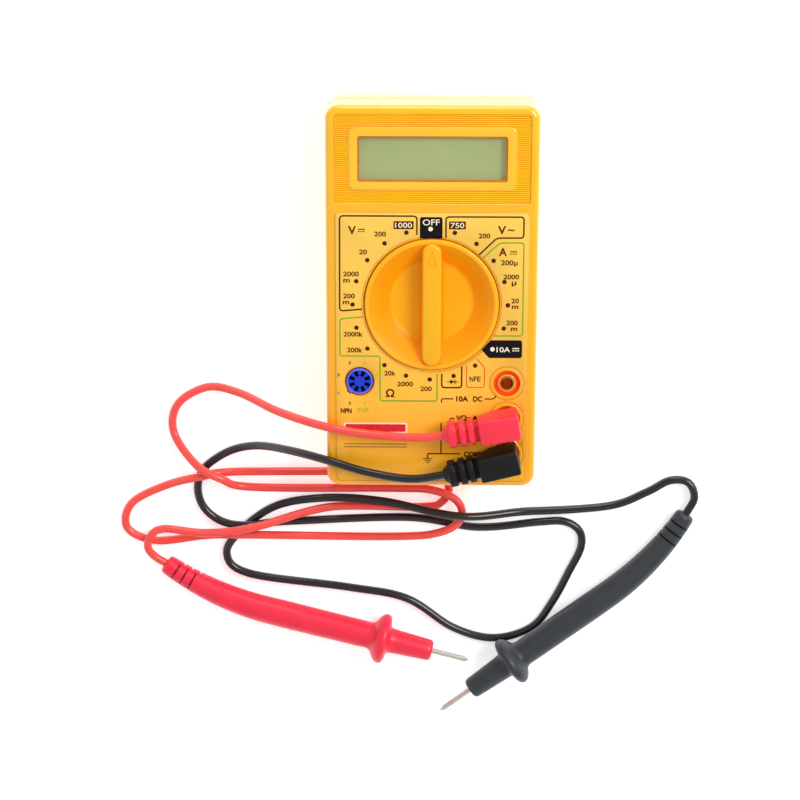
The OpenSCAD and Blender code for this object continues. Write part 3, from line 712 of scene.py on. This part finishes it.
def printing():
    # Text, centre and width of each group of digits
    digits = [("200", -16.57, 21.89, 3.75), ("20", -22.0, 15.99, 2.55), ("2000", -25.85, 8.75, 5.0),
              ("200", -26.52, 1.49, 3.75), ("2000k", -25.2, -11.2, 6.2), ("200k", -24.7, -16.5, 4.9),
              ("200", 16.67, 21.41, 3.7), ("200µ", 24.7, 12.5, 5.3), ("2000", 25.4, 8.04, 5.0),
              ("20", 26.75, 0.13, 2.4), ("200", 25.85, -7.17, 3.7), ("20k", -13.35, -24.2, 3.7),
              ("2000", -8.48, -27.82, 5.1), ("200", -1.67, -29.4, 3.7)]
    for text, x, y, width in digits:
        write(text, x, y, 2.1 if "µ" in text else 1.65, width)
    for x, y in ((-27.3, 6.5), (-27.5, -0.7), (26.75, -1.95), (26.5, -9.3)):
        write("m", x, y, 1.15, 2.1)
    write("µ", 26.3, 5.7, 1.7, 1.5)
    write("V", -25.5, 23.1, 2.75, 2.6)
    dc_mark(-22.5, 23.1)
    write("V", 22.2, 23.3, 2.75, 2.6)
    write("~", 25.1, 23.3, 0.8, 2.1)
    write("A", 22.6, 16.2, 2.7, 2.6)
    dc_mark(26.0, 16.0)
    write("Ω", -13.3, -30.9, 2.75, 2.8)
    write("hFE", 14.2, -26.0, 1.75, 3.6)
    for text, x, y, height, width in (("10A", 10.1, -32.75, 1.9, 4.0), ("DC", 15.1, -32.75, 1.9, 3.0),
                                      ("VΩmA", 11.7, -39.2, 1.9, 7.2), ("COM", 13.3, -51.6, 1.9, 5.0),
                                      ("NPN", -27.6, -37.0, 1.7, 3.6)):
        write(text, x, y, height, width, weight=0.042)
    write("PNP", -22.1, -36.8, 1.7, 3.6, "lime")
    for ink, outer, inner in (("brown", -30.0, -26.3), ("lime", -17.8, -21.4)):
        for text, x, y in ("E", inner, -20.8), ("B", outer, -24.9), ("C", outer, -31.0), ("E", inner, -34.4):
            write(text, x, y, 0.95, 0.7, ink)

    # Filled blocks with pale lettering
    for text, x0, x1 in (("1000", -12.3, -5.9), ("750", 5.35, 10.7)):
        box_patch(x0, x1, 23.5, 26.1, "blockbrown")
        write(text, (x0 + x1) / 2, 24.8, 1.75, x1 - x0 - 1.0, "cream", 0.01)
    patch([(-3.9, 20.55), (3.3, 20.55), (3.3, 27.0), (2.9, 27.45), (-3.5, 27.45), (-3.9, 27.0)], "black")
    write("OFF", -0.3, 25.75, 2.0, 5.4, "cream", 0.01)
    patch([(16.2, -16.24), (19.1, -12.95), (28.7, -12.95), (29.2, -13.45), (29.2, -18.4), (28.7, -18.9),
           (18.6, -18.9)], "black")
    write("10A", 23.2, -16.1, 1.75, 4.4, "cream", 0.014)
    dc_mark(27.2, -16.0, "cream")

    # Range marks round the knob
    ring_x, ring_y = KNOB_AT[0] - 0.48, KNOB_AT[1] - 0.02
    for k in range(MARKS):
        a = math.radians(90 - 360 / MARKS * k)
        at = (ring_x + MARK_RING_R * math.cos(a), ring_y + MARK_RING_R * math.sin(a))
        patch(circle(MARK_R, 20, at), "cream" if k in (0, 7) else "brown")

    # Outlines of the groups of ranges
    stroke([(-4.85, 21.6), (-4.85, 27.75), (-29.45, 27.75), (-29.55, -3.5), (-22.4, -2.85)], radius=1.2)
    stroke([(4.4, 20.75), (4.4, 27.55), (29.15, 27.6), (29.15, 20.8), (20.65, 20.75), (15.0, 15.2)],
           radius=1.0)
    stroke([(3.4, -24.3), (3.4, -28.95), (9.85, -28.95), (9.85, -21.8)], radius=1.0)
    stroke([(16.3, 14.2), (21.6, 19.15), (29.25, 19.2), (29.3, -11.5), (20.1, -11.5)], "green", BLOCK_LINE,
           1.0)
    stroke([(-22.1, -5.45), (-29.5, -6.1), (-29.5, -18.5), (-16.6, -18.5), (-16.6, -33.55), (1.9, -33.55),
            (1.9, -24.6)], "green", BLOCK_LINE, 1.0)
    stroke([(11.45, -21.3), (11.45, -28.85), (17.2, -28.85), (17.2, -22.1), (14.75, -19.3)], "orange",
           DC_LINE, 0.8)

    # Thin lines round the label, the knob's opening and the jacks
    loops = [corner_box(LABEL_W - 0.3, LABEL_L - 0.3, LABEL_CORNER - 0.1, 5, LABEL_AT)]
    loops.append(circle(KNOB_R + LABEL_KNOB_GAP + 0.2, 90, KNOB_AT[:2]))
    loops += [circle(LABEL_JACK_R + 0.25, 48, jack[:2]) for jack in JACKS]
    for loop in loops:
        stroke(loop, "edge", EDGE_LINE, 0, True)

    # Diode, jack lines and ground
    x, y = 7.06, -27.0
    patch([(x - 0.95, y + 0.75), (x - 0.95, y - 0.75), (x + 0.5, y)], "brown")
    stroke([(x + 0.62, y + 0.8), (x + 0.62, y - 0.8)], width=SIGN_LINE)
    stroke([(x - 1.9, y), (x + 1.7, y)], width=0.26)
    stroke([(3.4, -34.1), (3.4, -32.75), (7.2, -32.75)], width=BLOCK_LINE, radius=0.5)
    stroke([(17.4, -32.75), (20.2, -32.75), (21.4, -31.4)], width=BLOCK_LINE, radius=0.4)
    stroke([(6.2, -41.1), (6.2, -39.4), (7.6, -39.4)], width=BLOCK_LINE, radius=0.5)
    for path in [(3.3, -41.0), (3.3, -51.3)], [(-1.0, -51.5), (9.6, -51.5)], [(-1.0, -51.5), (-1.0, -53.2)]:
        stroke(path, width=BLOCK_LINE)
    for k, half in enumerate((1.5, 1.0, 0.5)):
        stroke([(-1.0 - half, -53.2 - 0.7 * k), (-1.0 + half, -53.2 - 0.7 * k)], width=SIGN_LINE)

    # A plain red bar edged in cream, with two thin lines under it
    box_patch(-28.4, -7.7, -44.6, -41.0, "cream", 0.6)
    red_z = LABEL_Z + 2 * PRINT_STEP
    bar = corner_box(19.6, 2.6, 0.4, 3, (-18.05, -42.8))
    inks["red"].prism(bar, red_z - 0.5 * PRINT_STEP, red_z + 0.5 * PRINT_STEP)
    for y in (-48.3, -49.3):
        stroke([(-28.3, y), (-7.8, y)], "black", 0.22)

    for name, solid in inks.items():
        solid.make("print_" + name, "meter", "label_film")


printing()


# ---- Range knob ----
KNOB_SIDES = 120
HUB_R, SKIRT_R, KNOB_RIM_R = 2.95, 23.4, 21.55
HUB_H, SKIRT_W, SKIRT_STEP, SKIRT_GAP, RIM_DROP, DISH_DROP = 4.4, 4, 2.2, 0.3, 1.0, 7.0
KNOB_TOP_RIM = [(21.55, -0.5), (21.48, -0.2), (21.3, -0.05), (21.05, 0), (20.5, 0), (20.2, -0.06)]
DISH_TOP = [(19.9, -0.25), (17.2, -2.7)]  # height above the rim, like the profile before
DISH_FOOT = [(14.2, 0.75), (13.4, 0.22)]  # height above the dish's floor, like the next
DISH_FLOOR = [(12.6, 0.04), (11.8, 0)]
BAR_W, BAR_L, BAR_END_FLAT = 6.0, 40.3, 0.04
# The bar's growth outward; height above the dish's floor for its foot, above its top for its crown
BAR_FOOT = [(1.0, -0.5), (0.95, 0.1), (0.6, 0.5), (0.35, 1.1), (0.2, 2.4)]
BAR_CROWN = [(0.05, -1.2), (-0.02, -0.75), (-0.2, -0.35), (-0.55, -0.1), (-1.0, 0)]
POINTER = [(-1.62, 11.86), (1.7, 11.86), (0.04, 17.3)]
POINTER_MIDDLE, POINTER_HOLE, POINTER_RISE = (0.04, 13.09), 0.74, 0.05


def range_knob():
    # The rim and the bar's top take the painted-highlight copy, the dish floor the painted-light copy, and the
    # slope and the bar's sides the deeper orange.
    s = Solid(KNOB_RIM)
    bar_z, rim_z, dish_z = KNOB_HI[2], KNOB_HI[2] - RIM_DROP, KNOB_HI[2] - DISH_DROP
    under, skirt_z = KNOB_LO[2] + HUB_H, FACE_UNDER - SKIRT_GAP
    skirt = s.turned(KNOB_AT, KNOB_SIDES, [
        (HUB_R, KNOB_LO[2]), (HUB_R, under), (SKIRT_R - SKIRT_W, under),
        (SKIRT_R - SKIRT_W, under + SKIRT_STEP), (SKIRT_R, under + SKIRT_STEP), (SKIRT_R, skirt_z),
        (KNOB_RIM_R, skirt_z)])
    rim = s.turned(KNOB_AT, KNOB_SIDES, KNOB_TOP_RIM, rim_z)
    slope = s.turned(KNOB_AT, KNOB_SIDES, DISH_TOP, rim_z) + s.turned(KNOB_AT, KNOB_SIDES, DISH_FOOT, dish_z)
    dish = s.turned(KNOB_AT, KNOB_SIDES, DISH_FLOOR, dish_z)
    s.loft(skirt + rim, (True, False))
    s.paint(KNOB)
    s.loft(rim[-1:] + slope)
    s.paint(KNOB_FLOOR_LIT)
    s.loft(slope[-1:] + dish)
    s.face(dish[-1])

    def bar(growth, z):
        width, length = BAR_W + 2 * growth, BAR_L + min(0, 2 * growth)
        return s.ring(corner_box(width, length, (width - BAR_END_FLAT) / 2, 14, KNOB_AT[:2]), z)

    sides = [bar(growth, dish_z + z) for growth, z in BAR_FOOT]
    crown = [bar(growth, bar_z + z) for growth, z in BAR_CROWN]
    s.paint(KNOB)
    s.loft(sides, (True, False))
    s.paint(KNOB_RIM)
    s.loft(sides[-1:] + crown)
    s.face(crown[-1])

    # The pointer, a thin raised triangle line at the top of the bar
    s.paint(KNOB)
    centre = Vector(POINTER_MIDDLE)
    inner = [tuple(centre + (Vector(p) - centre) * POINTER_HOLE) for p in POINTER]
    low, high = bar_z - POINTER_RISE, bar_z + POINTER_RISE
    loops = [s.ring(shape, z) for shape, z in ((POINTER, low), (POINTER, high), (inner, high), (inner, low))]
    s.loft(loops + loops[:1])
    return s.make("knob", "dial", "case_plastic", ["range_knob"])


range_knob()


# ---- Transistor socket ----
# Radius, how far the key stands out, and height above the socket's foot, then above its top
SOCKET_FOOT = [(4.0, 0.5, 0), (4.25, 0.5, 0.3)]
SOCKET_TOP = [(4.25, 0.5, -0.22), (4.16, 0.4, -0.05), (4.06, 0.3, 0)]
SOCKET_INSIDE = [(3.84, -0.02), (3.78, -0.12), (3.76, -0.32)]
SOCKET_SLOT = [(1.75, -0.55), (3.55, -0.62), (3.55, 0.62), (1.75, 0.55)]
SLOTS, SLOT_LIP, SLOT_DEPTH = 8, 0.1, 2.6


def transistor_socket():
    # The rim and its inner wall take the painted-highlight copy of the blue plastic.
    s = Solid(SOCKET_RIM_LIT)
    lo, hi = box_mm("transistor_socket")
    deck = hi[2] + SOCKET_INSIDE[-1][1]
    rim = [s.ring(keyed(r, key), lo[2] + z) for r, key, z in SOCKET_FOOT]
    rim += [s.ring(keyed(r, key), hi[2] + z) for r, key, z in SOCKET_TOP]
    s.loft(rim, (True, False))
    inner = rim[-1:] + s.turned(SOCKET_AT, 96, SOCKET_INSIDE, hi[2])
    s.loft(inner)
    holes = []
    for k in range(SLOTS):
        turn = Matrix.Rotation(math.radians(360 / SLOTS * (k + 0.5)), 2)
        outline = [tuple(Vector(SOCKET_AT[:2]) + turn @ Vector(p)) for p in SOCKET_SLOT]
        mouth = [s.ring(outline, z) for z in (deck, deck - SLOT_LIP)]
        s.paint(BLUE)
        s.loft(mouth)
        # Painted shade down each slot.
        s.paint(DARK)
        s.loft([mouth[-1], s.ring(outline, deck - SLOT_DEPTH)], (False, True))
        holes.append(mouth[0])
    s.paint(BLUE)
    s.plate(inner[-1], holes)
    return s.make("transistor_socket_body", "meter", "blue_plastic", ["transistor_socket"])


transistor_socket()


# ---- Plugs ----
CORD_Z = 33.5
PLUG_HALF, HEAD_CORNER, NECK_HALF, NECK_CORNER, FIN_CORNER = 4, 0.75, 3.1, 1.6, 2.4
FIN_LOW, FIN_HIGH = CORD_Z - 4.2, CORD_Z + 4.0
# The head's underside rises by its half width from this place on, over this length
RISE_FROM, RISE_OVER = -3, 6
# Place from the pin and inset, for the head and for the first edge of a fin
HEAD = [(4.0, 0.6), (3.9, 0.25), (3.62, 0.06), (3.2, 0), (-2.4, 0), (-3.2, 0), (-4.4, 0), (-8.3, 0),
        (-8.8, 0.08), (-9.0, 0.3)]
FINS = [(-10.6, -12.6), (-13.5, -15.5), (-16.6, -19.1)]
FIN_EDGE = [(0, 0.35), (0.12, 0.08), (0.35, 0)]
CORD_BORE = LEAD_D / 2 + 0.08
# Place from the pin, half width and corner radius
TAIL = [(-19.2, 3.1, 2.2), (-19.7, 2.6, 2.1), (-20.4, 2.2, 2.05), (-20.7, 2.05, 1.95), (-20.8, 1.85, 1.8),
        (-20.8, CORD_BORE + 0.2, CORD_BORE + 0.19), (-20.3, CORD_BORE, CORD_BORE - 0.01),
        (-18.0, CORD_BORE, CORD_BORE - 0.01)]


def plug(name, body, slot, node, mat, groove_mat, turn, jack):
    """A plug's moulding along -X from its pin, turned in degrees about the jack."""
    lo, hi = box_mm(node)
    floor, top = lo[2], hi[2]
    s = Solid(mat)

    def section(x, half, z0, z1, radius):
        pts = corner_box(2 * half, z1 - z0, radius, 5, (0, (z0 + z1) / 2))
        return s.ring([(x, y, z) for y, z in pts])

    def head(x, inset):
        rise = PLUG_HALF * max(0.0, min(1.0, (RISE_FROM - x) / RISE_OVER))
        return section(x, PLUG_HALF - inset, floor + rise + inset, top - inset, HEAD_CORNER)

    rings = [head(x, inset) for x, inset in HEAD]
    s.loft(rings, (True, False))
    last, x = rings[-1], HEAD[-1][0]
    for near, far in FINS:
        # The necks between the fins take groove_mat, a painted shade on the red plug.
        s.paint(groove_mat)
        neck = [last] + [section(at, NECK_HALF, CORD_Z - NECK_HALF, CORD_Z + NECK_HALF, NECK_CORNER)
                         for at in (x, near)]
        s.loft(neck)
        s.paint(mat)
        edges = [(near - run, inset) for run, inset in FIN_EDGE]
        edges += [(far + run, inset) for run, inset in reversed(FIN_EDGE)]
        fin = neck[-1:] + [section(at, PLUG_HALF - inset, FIN_LOW + inset, FIN_HIGH - inset, FIN_CORNER)
                           for at, inset in edges]
        s.loft(fin)
        last, x = fin[-1], far
    tail = [last] + [section(at, half, CORD_Z - half, CORD_Z + half, radius) for at, half, radius in TAIL]
    s.loft(tail, (False, True))
    s.moved(Matrix.Translation((jack[0], jack[1], 0)) @ Matrix.Rotation(math.radians(turn), 4, "Z"))
    return s.make(name, body, slot, [node])


RED_TURN, BLACK_TURN = 9.5, 14
# Painted shade: a darker red for the red plug's necks between the fins.
PLUG_GROOVE_SHADE = material("plug_groove_painted_shade", (225, 4, 30), 0.5, spread=0.08)
red_plug = plug("red_plug_moulding", "red_plug", "plug_red", "red_plug_body", PLUG_RED, PLUG_GROOVE_SHADE,
                RED_TURN, JACKS[1])
black_plug = plug("black_plug_moulding", "black_plug", "black_plastic", "black_plug_body", PLUG_BLACK,
                  INK_BLACK, BLACK_TURN, JACKS[2])


# ---- Probes ----
STRAIGHT, BEND_R, BEND = 40.0, 98.0, math.radians(23)
GUARD_R, NOSE_L, REAR_Z, REAR_R, HANDLE_R = 8.6, 17.3, 3.4, 3.3, 4.7
ARC = BEND_R * BEND
HANDLE_L = ARC + STRAIGHT
PITCH = math.atan((GUARD_R - REAR_Z) / (STRAIGHT + BEND_R * math.sin(BEND)))
SPLIT_AT, SIDES = 55.0, 48
PLAIN_FROM, PLAIN_STEP, PLAIN_GAP = 14.0, 2.0, 6
# Place from the handle's rear, and change of radius there
REAR_ROUND = {0.0: -1.5, 0.15: -0.75, 0.5: -0.3, 1.1: -0.06, 1.8: 0.0}
# Strain-relief slots: place, direction of their middle and half their span in degrees
RELIEF = [(4.3, 90, 78), (5.9, -90, 92), (7.5, 90, 78), (9.1, -90, 92), (10.7, 90, 78), (12.3, -90, 92)]
RELIEF_HALF, RELIEF_SLOPE, RELIEF_DEPTH, RELIEF_RAMP, RELIEF_EDGE = 0.3, 0.05, 0.85, 7, 3
# Finger guard and nose: place from the guard's middle, and radius
GUARD = [(-5.6, 4.5), (-4.6, 4.62), (-3.9, 4.9), (-3.4, 5.4), (-2.9, 6.3), (-2.3, 7.2), (-1.6, 7.95),
         (-0.9, 8.4), (-0.2, 8.58), (0.5, 8.5), (1.1, 8.1), (1.55, 7.3), (1.8, 6.2), (1.95, 5.2), (2.2, 4.6),
         (2.7, 4.3), (5.0, 4.12), (9.0, 3.95), (13.0, 3.78), (15.6, 3.66), (16.4, 3.55), (16.95, 3.25),
         (17.25, 2.75), (NOSE_L, 2.1), (NOSE_L, 1.34), (NOSE_L - 0.35, 1.34)]


def handle_point(far, side):
    """Place and heading on the handle's middle line, far millimetres from its rear."""
    if far < ARC:
        a = BEND * (1 - far / ARC)
        return (Vector((-STRAIGHT - BEND_R * math.sin(a), side * BEND_R * (1 - math.cos(a)), 0)),
                Vector((math.cos(a), -side * math.sin(a), 0)))
    return Vector((far - HANDLE_L, 0, 0)), Vector((1, 0, 0))


def handle_radius(far):
    """The handle swells to its middle and thins a little toward the guard."""
    t = min(1.0, far / HANDLE_L)
    return REAR_R + (HANDLE_R - REAR_R) * math.sin(math.radians(min(90, 150 * t))) - 0.4 * max(0.0, t - 0.6)


def handle_ring(s, far, side, radius, cut=None):
    """A ring of the handle, deeper where a slot is cut."""
    centre, along = handle_point(far, side)
    across = UP.cross(along)
    pts = []
    for k in range(SIDES):
        a = math.tau * k / SIDES
        r = radius
        if cut:
            r -= RELIEF_DEPTH * max(0.0, min(1.0, (cut[1] - apart(math.degrees(a), cut[0])) / RELIEF_RAMP))
        pts.append(centre + r * (math.cos(a) * across + math.sin(a) * UP))
    return s.ring(pts)


def handle_stations():
    """Places along the handle that get a ring, each with its change of radius."""
    stations = dict(REAR_ROUND)
    for place, _, _ in RELIEF:
        for edge in (-RELIEF_HALF - RELIEF_SLOPE, -RELIEF_HALF, RELIEF_HALF, RELIEF_HALF + RELIEF_SLOPE):
            stations[round(place + edge, 4)] = 0.0
    far = PLAIN_FROM
    while far < HANDLE_L - PLAIN_GAP:
        stations[far] = 0.0
        far += PLAIN_STEP
    stations[SPLIT_AT] = 0.0
    return stations


def probe(prefix, body, slot, node, grip_mat, slot_mat, at, heading, side):
    """A probe's handle in two pieces, with its guard standing on the bench at the place given."""
    place = Matrix.Translation((*at, GUARD_R)) @ Matrix.Rotation(math.radians(heading), 4, "Z")
    place = place @ Matrix.Rotation(-PITCH, 4, "Y")
    rear, front = Solid(grip_mat), Solid(grip_mat)
    stations = handle_stations()
    rings = []
    for far in sorted(p for p in stations if p <= SPLIT_AT):
        cut = next(((turn, span) for m, turn, span in RELIEF if abs(far - m) <= RELIEF_HALF + 1e-6), None)
        rings.append((cut, handle_ring(rear, far, side, handle_radius(far) + stations[far], cut)))
    for (cut_a, a), (cut_b, b) in zip(rings, rings[1:]):
        for k in range(SIDES):
            j = (k + 1) % SIDES
            # Painted shade: faces inside a slot, short of its edges, take the darker slot material.
            facing = math.degrees(math.tau * (k + 0.5) / SIDES)
            in_slot = any(c and apart(facing, c[0]) < c[1] - RELIEF_EDGE for c in (cut_a, cut_b))
            rear.paint(slot_mat if in_slot else grip_mat)
            rear.face((a[k], a[j], b[j], b[k]))
    rear.paint(grip_mat)
    rear.face(rings[0][1])
    rear.face(rings[-1][1])
    shape = [(far, handle_radius(far)) for far in sorted(p for p in stations if p >= SPLIT_AT)]
    shape += [(HANDLE_L + x, r) for x, r in GUARD]
    line = [handle_ring(front, far, side, r) for far, r in shape]
    front.loft(line, (True, True))
    rear_piece = rear.moved(place).make(prefix + "_grip_rear", body, slot, [node], sharp=45)
    front.moved(place).make(prefix + "_grip_front", body, slot, [node], sharp=45)
    return rear_piece


red_rear = probe("red_probe", "red_probe", "plug_red", "red_probe_handle", GRIP_RED, RED_GRIP_SLOT_SHADE,
                 (-16, -124), -13, 1)
black_rear = probe("black_probe", "black_probe", "probe_slate", "black_probe_handle", GRIP_SLATE, GRIP_SLOT_SHADE,
                   (28, -132), -144, -1)


# ---- Leads: transforms baked into their meshes ----
for (obj, line, length), plug_body, pieces in (
        (red_lead, "red_plug", [red_plug, "red_plug_pin", red_rear, "red_probe_tip"]),
        (black_lead, "black_plug", [black_plug, "black_plug_pin", black_rear, "black_probe_tip"])):
    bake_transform(obj)


# ---- CAD parts that stay, with finished surfaces ----
STEEL = material("steel_plated", (190, 190, 192), 0.28, 1.0, spread=0.08, patch=700, grain=5000,
                 bump=0.05)
NICKEL = material("nickel", (222, 217, 208), 0.38, 1.0, spread=0.05, patch=300, bump=0.0)
BRASS = material("brass_sleeve", (255, 176, 104), 0.35, 1.0, spread=0.12, patch=500, grain=5000, bump=0.05)
SPRING = material("spring_brass", (214, 172, 96), 0.3, 1.0, spread=0.08, patch=500)
LCD = material("lcd_glass", (174, 186, 108), 0.3, spread=0.05, patch=60, grain=5200, bump=0.02)
WHITE = material("holder_white", (232, 232, 226), 0.5)
ZEBRA = material("rubber_grey", (70, 70, 74), 0.7, patch=500)
BOARD = material("board_green", (26, 96, 48), 0.35, spread=0.12, patch=300)
BLACK = material("black_moulding", (20, 20, 22), 0.45, spread=0.15)
BEIGE = material("resistor_beige", (205, 176, 128), 0.5, spread=0.1, patch=400)
CAP_RED = material("capacitor_red", (168, 54, 40), 0.4, spread=0.1, patch=400)
FOIL = material("foil", (205, 205, 208), 0.3, 1.0, patch=200, bump=0.3, grain=900)
CAN = material("battery_can", (52, 55, 62), 0.35, 0.4, spread=0.1, patch=200)
CLEAR = material("window_clear", (205, 218, 180), 0.06, spread=0.01, bump=0.0, rough_spread=0.02, Alpha=0.16,
                 Specular_IOR_Level=0.6)
FUSE = material("fuse_glass", (225, 235, 235), 0.08, spread=0.01, bump=0.0, rough_spread=0.02, Alpha=0.3)
kept = {
    STEEL: ["case_screws", "board_screws", "fuse_caps", "socket_contacts", "shield_spring", "detent_balls",
            "detent_springs", "battery_terminals"],
    NICKEL: ["red_plug_pin", "black_plug_pin", "red_probe_tip", "black_probe_tip"],
    BRASS: ["jack_10a", "jack_volt", "jack_com"], SPRING: ["fuse_clips", "shunt_wire", "wiper_springs"],
    CLEAR: ["lcd_cover"], LCD: ["lcd_cell"], WHITE: ["lcd_holder"], ZEBRA: ["zebra_strips"],
    BOARD: ["circuit_board"], FUSE: ["fuse_glass"], BLUE: ["trimmer"], BEIGE: ["resistors"],
    CAP_RED: ["capacitors"], FOIL: ["shield_sheet"], BLACK: ["chip_cap", "battery_snap"], CAN: ["battery"],
    LEAD_RED: ["battery_wires"]}
for mat, nodes in kept.items():
    for node in nodes:
        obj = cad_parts[node]
        if not obj.material_slots:
            obj.data.materials.append(mat)
        for holder in obj.material_slots:
            holder.material = mat


# ---- Floor and light ----
FLOOR_HALF, FLOOR_Z = 8.0, -0.0002
SKY_LOW, SKY_HIGH, SKY_AT_HORIZON, SKY_OVERHEAD = 0.12, 0.4, 1.0, 0.49
corners = [(x * FLOOR_HALF, y * FLOOR_HALF, FLOOR_Z) for x, y in ((-1, -1), (1, -1), (1, 1), (-1, 1))]
floor_data = bpy.data.meshes.new("floor")
floor_data.from_pydata(corners, [], [(0, 1, 2, 3)])
floor_mat = bpy.data.materials.new("pale_floor")
floor_mat.use_nodes = True
set_sockets(floor_mat.node_tree.nodes["Principled BSDF"], Base_Color=(0.93, 0.93, 0.94, 1), Roughness=0.9,
            Emission_Color=(1, 1, 1, 1), Emission_Strength=0.5)
floor_data.materials.append(floor_mat)
floor = added("floor", floor_data)


def area(name, at, aim, size, power):
    """A round white lamp at a place in metres, turned to the place it lights."""
    data = bpy.data.lights.new(name, "AREA")
    data.shape, data.size, data.energy = "DISK", size, power
    lamp = added(name, data)
    lamp.location = at
    lamp.rotation_mode = "QUATERNION"
    lamp.rotation_quaternion = (Vector(aim) - Vector(at)).to_track_quat("-Z", "Y")


area("key", (0.62, 0.4, 0.78), (0, -0.02, 0), 0.5, 6.2)
area("rear", (0.0, 1.35, 0.42), (0, 0, 0.01), 0.6, 4)
area("fill", (-0.9, -0.3, 0.9), (0, -0.05, 0), 1.0, 1.2)
area("front", (0.2, -1.1, 0.8), (0, -0.08, 0), 1.0, 1.2)

# White at the horizon, softer overhead
world = bpy.data.worlds.new("studio")
world.use_nodes = True
sky_nodes, sky_links = world.node_tree.nodes, world.node_tree.links
sky = sky_nodes["Background"]
set_sockets(sky, Color=(1, 1, 1, 1))
heading, axes = sky_nodes.new("ShaderNodeTexCoord"), sky_nodes.new("ShaderNodeSeparateXYZ")
height = sky_nodes.new("ShaderNodeMapRange")
sky_links.new(heading.outputs["Generated"], axes.inputs["Vector"])
sky_links.new(axes.outputs["Z"], height.inputs["Value"])
set_sockets(height, From_Min=SKY_LOW, From_Max=SKY_HIGH, To_Min=SKY_AT_HORIZON, To_Max=SKY_OVERHEAD)
sky_links.new(height.outputs["Result"], sky.inputs["Strength"])
bpy.context.scene.world = world
